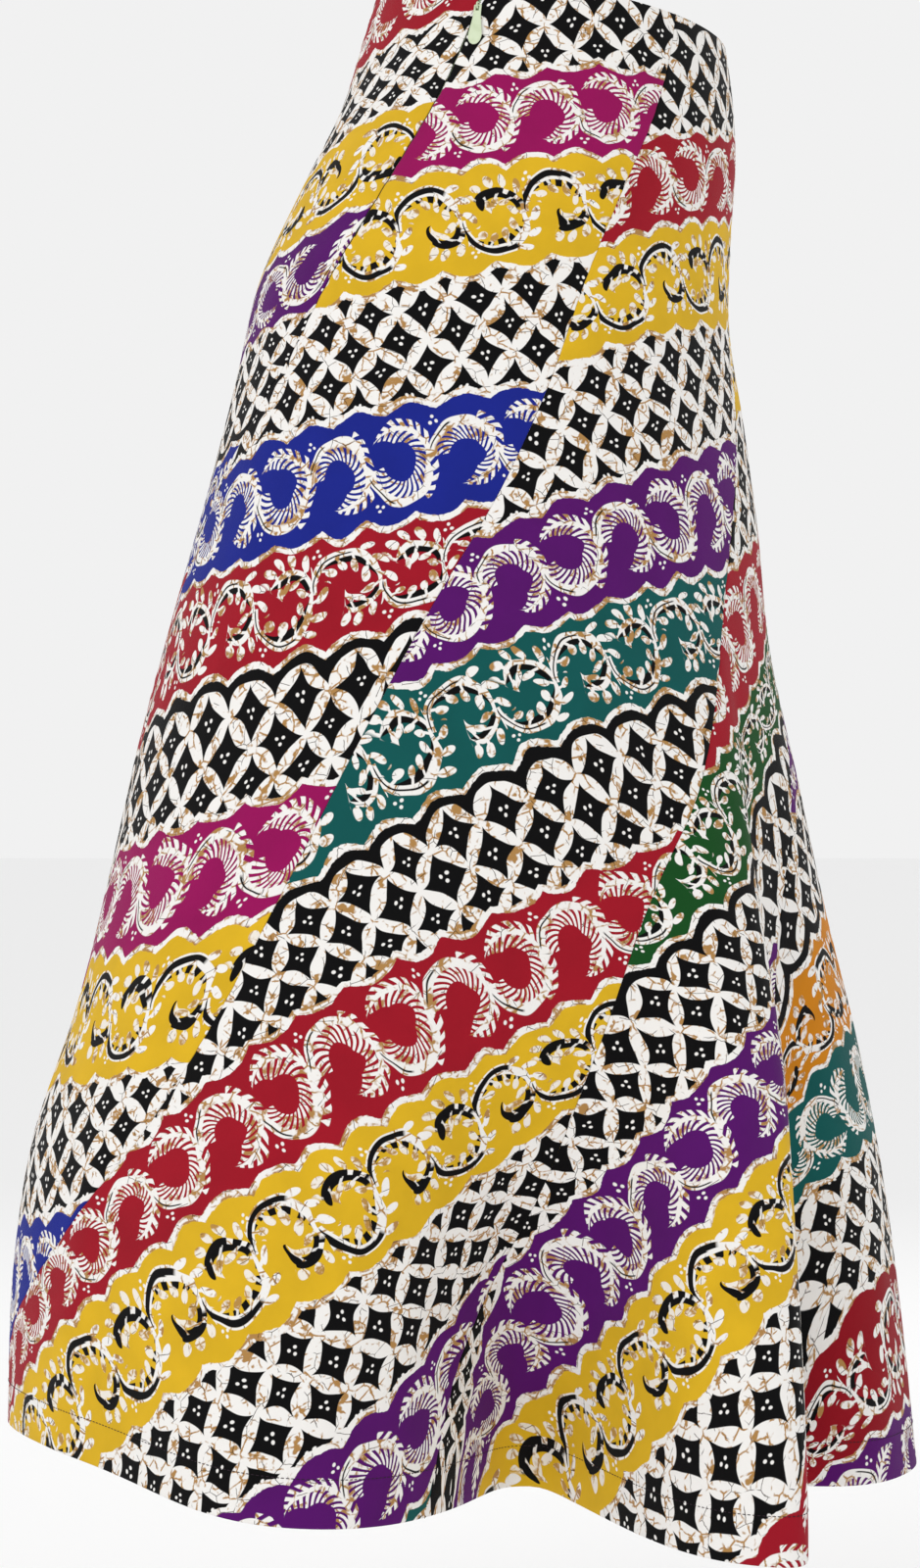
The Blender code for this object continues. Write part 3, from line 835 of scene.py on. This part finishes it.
def scroll_marks(angle, radius, curl_end, fall_rate):
    """White, black and tinted marks of the feathered scroll in one cell, as masks."""
    off = off_spine(angle, radius, fall_rate)
    drawn = angle.over(curl_end, 0.1)
    taper = ((angle - curl_end) / 0.7).clamped()
    on_arch = angle.over(0.0, 0.6)
    body_out, body_in = 1.3 + on_arch * 0.4, 1.3 + on_arch * 1.5
    inner_reach, outer_reach = 7.2 + on_arch * 3.0, 5.0
    body = (body_out * taper - off).over(0.0) * (off + body_in * taper).over(0.0)
    inner = off.under(-1.0) * (off + inner_reach * taper).over(0.0)
    outer = off.over(0.0) * (outer_reach * taper - off).over(0.0) * angle.under(FRINGE_END, SHARP)
    feather = either(inner * barbs(angle, off, INNER_SWEEP), outer * barbs(angle, off, OUTER_SWEEP))
    black = abs(off).under(0.4) * angle.between(1.9, 2.9, 0.1)
    tint = off.between(-5.5, -2.2, 1.6)
    return either(body, feather) * drawn, black, tint * drawn


def vine_marks(angle, radius, curl_end, fall_rate, heavy):
    """White, black and tinted marks of the leafy vine, as masks, and the black under it. heavy is 0 or 1."""
    off = off_spine(angle, radius, fall_rate)
    past_end = angle - curl_end
    drawn = angle.over(curl_end, 0.1)
    taper = (past_end / 0.5).clamped()
    half_stem = 1.3 + angle.over(-0.1, 0.3) * 0.9
    outer_sides = either(angle.under(FRINGE_END, SHARP), angle.over(2.5, SHARP))
    outer = club_leaves(angle, radius, off, OUTER_LEAVES) * outer_sides
    inner = club_leaves(angle, radius, -off, INNER_LEAVES) * angle.under(2.75, 0.05)
    leaves = either(outer, inner) * (1 - 0.15 * heavy)
    stem = (half_stem * taper - abs(off)).over(0.0)
    rim = off.between(2.4, 3.5) * angle.between(1.0, 2.9, 0.1) * heavy
    white = either(leaves, stem, rim) * drawn

    # The black under the curl's end is a bulb, 3.4 long and 2.6 wide from its middle, on a neck
    bulb_along, bulb_across = (past_end - 0.12) * (radius / 3.4), (off + 2.3) / 2.6
    bulb = (bulb_along * bulb_along + bulb_across * bulb_across).under(1.0, 0.2)
    neck = (1.9 - abs(off + 0.3)).over(0.0) * past_end.between(0.1, 1.15, 0.05)
    dashes = (angle * 2.3).fraction().under(0.6, 0.06)
    hair = (off + 0.2).between(-0.45, 0.45) * angle.between(1.3, 3.1, 0.1)
    back = off.between(-0.1, 2.5) * angle.between(1.0, 2.9, 0.1)
    curl_dashes = off.between(-1.7, 1.5) * dashes * angle.under(-0.3, 0.1) * drawn
    black = either(hair, either(back, curl_dashes, bulb, neck) * heavy)

    bend = (angle - 1.3) / 1.25
    crescent = (off + 1.7 + (1 - bend * bend) * 4.2).over(0.0) * off.under(-1.6) * angle.over(0.0, 0.1)
    shadow = (off + 4.4 * taper).over(0.0) * off.under(-0.6) * angle.under(-0.15, 0.1) * drawn
    shade = either(crescent * either(dashes, 1 - heavy), shadow)
    tint = abs(off).between(5.4, 9.2, 1.4)
    return white, black, tint * drawn, shade


def batik_colour(tree, dyes, phases, heavy):
    """The colour of the print, a mask of its waxed white lines, and its two places in millimetres.

    dyes are the grounds of the upper scroll, upper vine, lower scroll and lower vine. phases say how far
    along the first figure of each band lies. heavy says whether each vine is drawn heavily.
    """
    uv = tree.nodes.new("ShaderNodeUVMap")
    uv.uv_map = "print"
    split = tree.nodes.new("ShaderNodeSeparateXYZ")
    tree.links.new(uv.outputs[0], split.inputs[0])
    plain_along, plain_across = (Term(tree, split.outputs[k]) * (1 / MM) for k in (0, 1))
    field = {name: noise(tree, plain_along, plain_across, *sizes) for name, sizes in FIELDS.items()}
    along = plain_along + (field["sway"] - 0.5) * SWAY
    across = plain_across + (field["drift"] - 0.5) * SWAY
    place = across.math("WRAP", REPEAT + WRAP_LOW, WRAP_LOW)

    # How far each point lies beyond each border, and the bands it is in
    depths = []
    for border, phase in zip(BORDERS, phases.borders):
        turn = (along - (phase + border.first)) * (math.pi / border.pitch)
        lobe = abs(turn.math("COSINE")) - LOBE_MEAN
        depths.append(place - border.across - lobe * (border.side * border.height))
    beyond = [depth.over(0.0) for depth in depths]
    past_upper_scroll, past_lower_scroll = (depths[k].over(0.0, SHARP) for k in (2, 5))
    past_upper_net, past_lower_net = (place.over(limit, SHARP) for limit in (IN_UPPER_NET, IN_LOWER_NET))
    lower = place.over(BETWEEN_NETS, SHARP)
    in_upper_net = depths[0].over(UPPER_NET_INSET)
    in_lower_net = beyond[3] * (1 - beyond[4])
    in_nets = beyond[0] * (1 - beyond[1]) + in_lower_net
    figured = 1 - in_nets

    def by_band(values):
        """One term from a value for each figured band, in their order across the print."""
        level = place.constant(values[0])
        masks = (past_upper_net, past_upper_scroll, past_lower_net, past_lower_scroll)
        for mask, value, value_above in zip(masks, values[1:], values):
            level = level + mask * (value - value_above)
        return level

    # The cell, and the place in it. Every other figure of a band stands on its head.
    first = by_band((phases.lower_vine, *phases[1:3], *phases[4:6]))
    cell = (along - first) / CELL
    number = (cell + 0.5).math("FLOOR")
    x = (cell - number) * CELL
    flip = 1 - 4 * (number * 0.5).fraction()
    tall = (place - by_band(FIGURE_CENTRES)) * flip
    y = tall * CELL_SQUASH
    radius, angle = x.distance(y), y.math("ARCTAN2", x)
    last_x = x + CELL
    last_radius, last_angle = last_x.distance(y), (-y).math("ARCTAN2", last_x)

    # The figures, the nets and the lines along the borders
    in_upper_vine = past_upper_scroll * (1 - past_lower_net)
    in_lower_vine = either(1 - past_upper_net, past_lower_scroll)
    in_vine = either(in_upper_vine, in_lower_vine)
    is_heavy = in_upper_vine * heavy[0] + in_lower_vine * heavy[1]
    pairs = (CURL_END, SCROLL_FALL, VINE_FALL)
    curl_end, scroll_fall, vine_fall = (mean + flip * added for mean, added in pairs)
    scroll = scroll_marks(angle, radius, curl_end, scroll_fall)
    vine = vine_marks(angle, radius, curl_end, vine_fall, is_heavy)
    figure = [mark * (1 - in_vine) + vine_mark * in_vine for mark, vine_mark in zip(scroll, vine)]
    fringe = either(arch_fringe(angle, radius, in_vine), arch_fringe(last_angle, last_radius, in_vine))
    net_along = along - (phases.upper_net + lower * (phases.lower_net - phases.upper_net))
    net_down = place - (UPPER_NET_START + lower * (LOWER_NET_START - UPPER_NET_START))
    petals, net_dots = petal_net(net_along, net_down, PETAL_HALF_WIDTH + lower * LOWER_PETAL_EXTRA)
    edge = functools.reduce(lambda near, depth: near.math("MINIMUM", depth), [abs(depth) for depth in depths])
    rough = field["rough"] - 0.5
    line = (edge - rough * 1.8).under(BORDER_LINE)
    open_figure = figured * edge.over(BORDER_CLEAR, 0.2)
    open_net = either(in_upper_net, in_lower_net) * in_nets
    white = either(either(figure[0], fringe) * open_figure, petals * open_net, line)
    spots = either(dots(x, tall, FIGURE_SPECKS, FIGURE_SPECK) * open_figure, net_dots * open_net)

    # Amber and dark cracks in the wax, and amber tints
    patches = field["patches"]
    crackle = cracks(tree, plain_along + rough * 3.0, plain_across, CRACK_SIZE)
    fine = cracks(tree, plain_along + rough * 2.0, plain_across + FINE_CRACK_SHIFT, FINE_CRACK_SIZE)
    amber = either(
        crackle.under(0.45, 0.4) * patches.over(0.48, 0.1),
        figure[2] * figured * patches.over(0.56, 0.1),
        edge.between(0.8, 2.2, 0.6) * patches.over(0.54, 0.1),
        patches.over(0.64, 0.06),
    )
    dark = fine.under(0.2, 0.24) * field["dark"].over(0.52, 0.06)
    wax = blended(tree, OFF_WHITE, AMBER, amber * 0.92)
    wax = blended(tree, wax, CRACK_DARK, dark * 0.85)

    upper_scroll, upper_vine, lower_scroll, lower_vine = (linear(dye) for dye in dyes)
    grounds = (BLACK, upper_scroll, upper_vine, BLACK, lower_scroll, lower_vine)
    layers = [
        *zip(grounds, beyond),
        (BLACK, (field["mottle"] - 0.35) * 0.35),
        (BLACK, vine[3] * in_vine * open_figure),
        (wax, white),
        (BLACK, figure[1] * open_figure),
        (OFF_WHITE, spots),
    ]
    colour = lower_vine
    for dye, mask in layers:
        colour = blended(tree, colour, dye, mask)
    return colour, either(white, spots), plain_along, plain_across


BLACK = linear((0.012, 0.010, 0.014))
OFF_WHITE = linear((0.93, 0.92, 0.905))
AMBER = linear((0.64, 0.44, 0.05))
CRACK_DARK = linear((0.20, 0.14, 0.09))

# How far along the first figure of each band lies, and the first lobe of each border
Phases = namedtuple("Phases", "upper_net upper_scroll upper_vine lower_net lower_scroll lower_vine borders")
PLAIN_PHASES = Phases(0, 0, 0, 0, 0, 0, (0, 15, 0, 0, 0, 0))

# Dyes, as seen on screen
MAGENTA = (0.58, 0.04, 0.34)
RED = (0.61, 0.07, 0.14)
DARK_RED = (0.56, 0.05, 0.11)
YELLOW = (0.86, 0.69, 0.13)
ORANGE = (0.80, 0.50, 0.07)
BLUE = (0.09, 0.14, 0.53)
PURPLE = (0.33, 0.05, 0.40)
TEAL = (0.04, 0.33, 0.32)
GREEN = (0.07, 0.29, 0.11)

# The print on a gore: the dyes of its four figured bands, and which of its two vines are drawn heavily
PRINTS = table(
    "gore upper_scroll upper_vine lower_scroll lower_vine heavy phases",
    (1, PURPLE, YELLOW, RED, BLUE, (1, 0), Phases(8, 4, 0, 0, 20, 0, (8, 23, 5, 0, 0, 0))),
    (2, MAGENTA, YELLOW, BLUE, RED, (1, 0), PLAIN_PHASES),
    (3, RED, YELLOW, PURPLE, TEAL, (1, 0), PLAIN_PHASES._replace(lower_scroll=-18)),
    (4, PURPLE, YELLOW, RED, GREEN, (1, 0), PLAIN_PHASES),
    (5, PURPLE, DARK_RED, TEAL, ORANGE, (0, 1), PLAIN_PHASES),
    (6, TEAL, YELLOW, MAGENTA, RED, (1, 0), PLAIN_PHASES),
)
WEAVE_PITCH = 0.42


def new_finish(name):
    """A new material, with its node tree and shader."""
    material = bpy.data.materials.new(name)
    material.use_nodes = True
    return material, material.node_tree, material.node_tree.nodes["Principled BSDF"]


def add_bump(tree, shader, height, strength, distance):
    """Fine relief from a height field, with a distance in millimetres."""
    bump = tree.nodes.new("ShaderNodeBump")
    set_values(bump, Strength=strength, Distance=distance * MM)
    tree.links.new(height.socket, bump.inputs["Height"])
    tree.links.new(bump.outputs[0], shader.inputs["Normal"])


def weave(x, y, pitch):
    """The crossing threads of a plain weave, from -1 to 1."""
    return (x * (2 * math.pi / pitch)).math("SINE") * (y * (2 * math.pi / pitch)).math("SINE")


def batik_finish(look):
    """The printed cotton of one gore."""
    material, tree, shader = new_finish(f"batik_gore_{look.gore}")
    dyes = (look.upper_scroll, look.upper_vine, look.lower_scroll, look.lower_vine)
    colour, wax, along, across = batik_colour(tree, dyes, look.phases, look.heavy)
    tree.links.new(colour, shader.inputs["Base Color"])
    slub = noise(tree, along, across, 2.2, 1.0, 60.0)
    add_bump(tree, shader, weave(along, across, WEAVE_PITCH) * 0.35 + slub, 0.35, 0.2)
    tree.links.new((wax * -0.06 + 0.78 + slub * 0.08).socket, shader.inputs["Roughness"])
    set_values(shader, Specular_IOR_Level=0.12, Sheen_Weight=0.04, Sheen_Roughness=0.5)
    return material


def object_places(tree):
    """Two places over a small piece in millimetres: round it and up it."""
    source = tree.nodes.new("ShaderNodeTexCoord")
    split = tree.nodes.new("ShaderNodeSeparateXYZ")
    tree.links.new(source.outputs["Object"], split.inputs[0])
    x, y, z = (Term(tree, split.outputs[k]) * (1 / MM) for k in range(3))
    return x + y * 0.7, z + y * 0.2


# Hem stitches, in millimetres. The profile is a stitch's rings: place along its half length, and thickness.
STITCH_PITCH = 2.7
STITCH_LENGTH = 1.9
STITCH_RADIUS = 0.24
STITCH_SIDES = 6
STITCH_RISE = 0.1
STITCH_SINK = 0.12
STITCH_PROFILE = ((-1.0, 0.3), (-0.7, 0.9), (0.0, 1.0), (0.7, 0.9), (1.0, 0.3))


def tube_faces(rings, sides, first=0):
    """Faces of a closed tube, whose rings of vertices are counted from first on."""
    faces = []
    for ring_start in range(first, first + (rings - 1) * sides, sides):
        for i in range(sides):
            a, b = ring_start + i, ring_start + (i + 1) % sides
            faces.append([a, b, b + sides, a + sides])
    last = first + (rings - 1) * sides
    return faces + [list(range(first, first + sides))[::-1], list(range(last, last + sides))]


def build_stitches(finish):
    """The row of stitches that holds the turned-up hem, each a short plump loop of thread."""
    drop = SKIRT_DROP - HEM_ALLOWANCE
    ring_run = ring_length(drop)[1][-1]
    count = int(ring_run / STITCH_PITCH)
    shares = (np.arange(count) + 0.5) / count
    ends = STITCH_LENGTH / 2 / ring_run
    middle, out = cloth(shares, drop)
    run = cloth(shares + ends, drop)[0] - cloth(shares - ends, drop)[0]
    side = np.cross(out, run / np.linalg.norm(run, axis=1, keepdims=True))
    rings = []
    for along, thick in STITCH_PROFILE:
        centre = middle + run * along / 2 + out * (STITCH_RISE - STITCH_SINK * along**4)
        for turn in 2 * math.pi * np.arange(STITCH_SIDES) / STITCH_SIDES:
            rings.append(centre + STITCH_RADIUS * thick * (side * math.cos(turn) + out * math.sin(turn)))
    points = np.stack(rings, axis=1)
    faces = []
    for stitch in range(count):
        faces += tube_faces(len(STITCH_PROFILE), STITCH_SIDES, stitch * points.shape[1])
    return add_piece("hem_stitches", mesh_of("hem_stitches", points, faces), finish)


# Zip, in millimetres, as in the solids
CLOTH_WALL = 1.5
TAPE_THICK = 0.7
LAYER_GAP = 0.3
COIL_WIDTH = 1.7
COIL_THICK = 1.4
COIL_PITCH = 1.5
COIL_WIRE = 0.3
COIL_STEPS = 10
COIL_SIDES = 6
COIL_END_GAP = 1.5
TAPE_TOP_DROP = 3.0
BAIL_WIRE = 0.6
BAR_STANDOFF = 1.75
BAR_WIDTH = 1.2
BAR_CLEARANCE = 0.35
TAB_LENGTH = 26.0
TAB_WIDTH = 8.6
TAB_TOP_WIDTH = 4.8
TAB_THICK = 1.1
TAB_WINDOW = (2.3, 3.2)
TAB_TOP, TAB_TIP = BAR_WIDTH / 2, BAR_WIDTH / 2 - TAB_LENGTH
TAB_SHOULDER = -(TAB_WINDOW[1] + BAR_WIDTH)
TAB_BELLY = -(TAB_LENGTH - TAB_WIDTH * 0.75)
TAB_CORNER = 0.9
TAB_DOME = 0.15
TAB_RIM_CUT = 0.12
TAB_SIDE_CUT = 0.02
TAB_ROWS, TAB_COLUMNS = 72, 20


def zip_point(side, drop, offset, depth):
    """A point beside the zip seam. side is -1 for the back half of the zip and 1 for the front half."""
    away = side * (half_parting(CLOTH_PARTING, drop) + offset) / ring_length(drop)[1][-1]
    azimuth = azimuths_of(np.array([seam_share(ZIP_SEAM, drop) + away]), drop)
    normal = outward(azimuth, drop)[0]
    return ring(azimuth, drop)[0] - normal * depth, normal


def tube_mesh(name, path, radius, sides):
    """A closed tube of round section along a path of points in millimetres."""
    path = np.asarray(path, float)
    run = np.gradient(path, axis=0)
    run /= np.linalg.norm(run, axis=1, keepdims=True)
    frame_side = np.cross(run[0], [0.3, 0.5, 0.8])
    turns = 2 * math.pi * np.arange(sides) / sides
    rings = []
    for point, way in zip(path, run):
        frame_side = frame_side - way * frame_side.dot(way)
        frame_side /= np.linalg.norm(frame_side)
        other = np.cross(way, frame_side)
        rings.append([point + radius * (frame_side * math.cos(t) + other * math.sin(t)) for t in turns])
    return mesh_of(name, np.array(rings), tube_faces(len(path), sides))


def build_coil(side, finish):
    """One half of the zip's nylon coil, wound along the inner edge of its tape."""
    name = "zip_teeth_back" if side < 0 else "zip_teeth_front"
    run = ZIP_END_DROP - TAPE_TOP_DROP - 2 * COIL_END_GAP
    steps = int(run / COIL_PITCH * COIL_STEPS)
    path = []
    for k in range(steps + 1):
        drop = TAPE_TOP_DROP + COIL_END_GAP + run * k / steps
        turn = 2 * math.pi * k / COIL_STEPS
        edge = half_parting(TAPE_PARTING, drop) - half_parting(CLOTH_PARTING, drop)
        offset = edge + COIL_WIDTH / 2 + (COIL_WIDTH / 2 - COIL_WIRE) * math.cos(turn)
        depth = CLOTH_WALL + TAPE_THICK + 2 * LAYER_GAP + COIL_THICK / 2
        depth += (COIL_THICK / 2 - COIL_WIRE) * math.sin(turn)
        path.append(zip_point(side, drop, offset, depth)[0])
    return add_piece(name, tube_mesh(name, path, COIL_WIRE, COIL_SIDES), finish)


def tab_place():
    """Where the tab's bar lies: X to the right across the cloth, Y up and Z out of it, in metres."""
    point, out = zip_point(1, NECK_DROP, -half_parting(CLOTH_PARTING, NECK_DROP), 0.0)
    out = Vector(out)
    right = out.cross(Vector((0, 0, -1))).normalized()
    up = out.cross(right).normalized()
    place = Matrix((right, up, out)).transposed().to_4x4()
    place.translation = Vector(point)
    reach = BAR_WIDTH * 0.7 + BAR_CLEARANCE + BAIL_WIRE
    place.translation = place @ Vector((0, -reach, BAR_STANDOFF))
    place.translation *= MM
    return place


def quarter_round(share):
    """Height of a quarter circle, 1 where share is 0 and 0 where it is 1 or more."""
    return math.sqrt(max(0.0, 1 - share**2))


def tab_half_width(y):
    """Half the tab's width at a height above its bar, in millimetres."""
    if y > TAB_SHOULDER:
        corner = max(0.0, 1 - (TAB_TOP - y) / TAB_CORNER)
        return TAB_TOP_WIDTH / 2 - TAB_CORNER * (1 - quarter_round(corner))
    if y > TAB_BELLY:
        t = (TAB_SHOULDER - y) / (TAB_SHOULDER - TAB_BELLY)
        ease = t * t * (3 - 2 * t)
        return TAB_TOP_WIDTH / 2 + (TAB_WIDTH - TAB_TOP_WIDTH) / 2 * (0.35 * t**1.4 + 0.65 * ease)
    return TAB_WIDTH / 2 * quarter_round(min(1.0, (TAB_BELLY - y) / (TAB_BELLY - TAB_TIP)))


def tab_half_thickness(y, across):
    """Half the tab's thickness at a height above its bar, and at -1 to 1 across it, in millimetres."""
    rim = math.sqrt(max(0.0, 1 - abs(across) ** 6))
    top_round = min(1.0, max(0.0, (TAB_TOP - y) / 0.5)) ** 0.5
    tip_round = min(1.0, max(0.0, (y - TAB_TIP) / 0.9)) ** 0.5
    dome = TAB_DOME * (1 - across * across)
    return max((TAB_THICK / 2 - TAB_RIM_CUT + dome) * rim * top_round * tip_round, 0.0)


def in_tab_window(corners):
    """Whether a face with these corners lies in the slot for the bail."""
    x, y = (sum(v.co[k] for v in corners) / 4 / MM for k in (0, 1))
    width, height = TAB_WINDOW
    return abs(x) < width / 2 and -BAR_WIDTH / 2 - height < y < -BAR_WIDTH / 2


def build_tab(finish):
    """The drop-shaped pull tab: domed on both faces, with a rounded rim and a slot for the bail."""
    built = bmesh.new()
    across = [math.sin(math.pi / 2 * (2 * i / TAB_COLUMNS - 1)) for i in range(TAB_COLUMNS + 1)]
    down = [0.5 - 0.5 * math.cos(math.pi * k / TAB_ROWS) for k in range(TAB_ROWS + 1)]
    faces = {1: [], -1: []}
    for face, grid in faces.items():
        for y in (TAB_TOP + (TAB_TIP - TAB_TOP) * share for share in down):
            half = max(TAB_SIDE_CUT, tab_half_width(y) - TAB_SIDE_CUT)
            places = ((s * half, y, face * tab_half_thickness(y, s)) for s in across)
            grid.append([built.verts.new([n * MM for n in place]) for place in places])
    for face, grid in faces.items():
        for upper, lower in zip(grid, grid[1:]):
            for i in range(TAB_COLUMNS):
                corners = [upper[i], lower[i], lower[i + 1], upper[i + 1]]
                if not in_tab_window(corners):
                    built.faces.new(corners if face > 0 else corners[::-1])
    partner = {a: b for front, back in zip(faces[1], faces[-1]) for a, b in zip(front, back)}
    for edge in [e for e in built.edges if e.is_boundary]:
        a, b = edge.verts
        if a in partner and b in partner:
            first, second = (b, a) if edge.link_loops[0].vert == a else (a, b)
            built.faces.new((first, second, partner[second], partner[first]))
    bmesh.ops.remove_doubles(built, verts=built.verts, dist=2e-6)
    bmesh.ops.dissolve_degenerate(built, edges=built.edges, dist=1e-6)
    bmesh.ops.recalc_face_normals(built, faces=built.faces)
    built.transform(tab_place())
    mesh = bpy.data.meshes.new("pull_tab_drop")
    built.to_mesh(mesh)
    built.free()
    return add_piece("pull_tab_drop", mesh, finish)


def enamel_finish():
    """Pale green enamel on metal, with faint scuffs and specks."""
    material, tree, shader = new_finish("pale_green_enamel")
    x, y = object_places(tree)
    scuff = noise(tree, x, y, 1.6, 4.0)
    wear = noise(tree, x, y, 5.0, 2.0, 9.0)
    colour = blended(tree, ZIP_GREEN, ZIP_GREEN_WORN, wear.over(0.58, 0.3) * 0.5)
    tree.links.new(colour, shader.inputs["Base Color"])
    tree.links.new((scuff * 0.25 + 0.22).socket, shader.inputs["Roughness"])
    add_bump(tree, shader, scuff, 0.15, 0.1)
    set_values(shader, Coat_Weight=0.35, Coat_Roughness=0.15)
    return material


def woven_finish(name, colour, painted_weave_shading, pitch, roughness):
    """Plain-woven tape or plied thread."""
    material, tree, shader = new_finish(name)
    x, y = object_places(tree)
    grain = noise(tree, x, y, 1.2, 2.0)
    height = weave(x, y, pitch) * 0.5 + grain * 0.6
    # Painted light and shade: the second colour is laid over the raised weave, giving darker tops on the tape
    # and lighter tops on the thread, mixed with random grain
    tree.links.new(blended(tree, colour, painted_weave_shading, height * 0.5 + 0.3), shader.inputs["Base Color"])
    tree.links.new((grain * 0.2 + (roughness - 0.1)).socket, shader.inputs["Roughness"])
    add_bump(tree, shader, height, 0.5, 0.15)
    set_values(shader, Specular_IOR_Level=0.2)
    return material


ZIP_GREEN = linear((0.80, 0.85, 0.72))
ZIP_GREEN_WORN = linear((0.70, 0.76, 0.60))
TAPE_GREEN = linear((0.74, 0.80, 0.64))
TAPE_SHADE = linear((0.60, 0.67, 0.50))
COIL_GREEN = linear((0.78, 0.83, 0.70))
THREAD_DARK = linear((0.10, 0.06, 0.10))
THREAD_LIGHT = linear((0.24, 0.18, 0.22))


# Light, floor and camera. The camera looks level at the skirt's right side as worn.
CAMERA_PLACE = (-0.058, -2.250, -0.470)
CAMERA_SENSOR = 36.0
CAMERA_LENS = 83.03
FLOOR_GAP = 0.25
FLOOR_REACH = 30.0
FLOOR_COLOUR = (0.95, 0.95, 0.95, 1)
FLOOR_ROUGHNESS = 0.9
WORLD_STRENGTH = 0.88
LIGHTS = table(
    "name place target size watts",
    ("key", (-1.6, -2.4, 0.9), (0, 0, -0.4), (1.6, 2.0), 20),
    ("fill", (1.9, -2.2, 0.2), (0, 0, -0.5), (1.6, 2.0), 3),
    ("back", (0.4, 2.4, 1.0), (0, 0, -0.4), (1.6, 1.6), 10),
)


def build_stage():
    low = solids_box[0][2] - FLOOR_GAP
    corners = [(x * FLOOR_REACH, y * FLOOR_REACH, low) for x, y in ((-1, -1), (1, -1), (1, 1), (-1, 1))]
    mesh = bpy.data.meshes.new("floor")
    mesh.from_pydata(corners, [], [(0, 1, 2, 3)])
    finish, _, shader = new_finish("pale_floor")
    set_values(shader, Base_Color=FLOOR_COLOUR, Roughness=FLOOR_ROUGHNESS)
    mesh.materials.append(finish)
    floor = add_object("floor", mesh)


def build_light():
    world = bpy.data.worlds.new("studio")
    world.use_nodes = True
    set_values(world.node_tree.nodes["Background"], Color=(1, 1, 1, 1), Strength=WORLD_STRENGTH)
    bpy.context.scene.world = world
    for light in LIGHTS:
        data = bpy.data.lights.new(light.name, "AREA")
        data.shape = "RECTANGLE"
        data.size, data.size_y = light.size
        data.energy = light.watts
        lamp = add_object(light.name, data)
        lamp.location = light.place
        way = Vector(light.target) - Vector(light.place)
        lamp.rotation_euler = way.to_track_quat("-Z", "Y").to_euler()


def build_camera():
    lens = bpy.data.cameras.new("camera")
    lens.sensor_fit = "VERTICAL"
    lens.sensor_height = CAMERA_SENSOR
    lens.lens = CAMERA_LENS
    camera = add_object("camera", lens)
    camera.location = CAMERA_PLACE
    camera.rotation_euler = (math.pi / 2, 0, 0)
    bpy.context.scene.camera = camera


bpy.context.scene.view_settings.view_transform = "Standard"
build_stage()
build_light()
build_camera()
for gore in range(GORES):
    shell = build_gore(gore, batik_finish(PRINTS[gore]))
    node = f"gore_{gore + 1}"
    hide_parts(node)
    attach(shell, "skirt")
    width, length, area = cut_size(gore)

stitches = build_stitches(woven_finish("dark_thread", THREAD_DARK, THREAD_LIGHT, 0.3, 0.75))
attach(stitches, "skirt")

enamel = enamel_finish()
tape = woven_finish("pale_green_tape", TAPE_GREEN, TAPE_SHADE, 0.5, 0.85)
nylon = woven_finish("pale_green_nylon", COIL_GREEN, TAPE_GREEN, 0.9, 0.4)
for side, half in ((-1, "back"), (1, "front")):
    coil = build_coil(side, nylon)
    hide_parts(f"zip_coil_{half}")
    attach(coil, "skirt")
tab = build_tab(enamel)
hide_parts("zip_pull")
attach(tab, "pull_tab")
for node, finish in (
    ("zip_tape_back", tape),
    ("zip_tape_front", tape),
    ("zip_slider", enamel),
    ("zip_bottom_stop", enamel),
):
    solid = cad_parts[node]
    solid.data.materials.clear()
    solid.data.materials.append(finish)
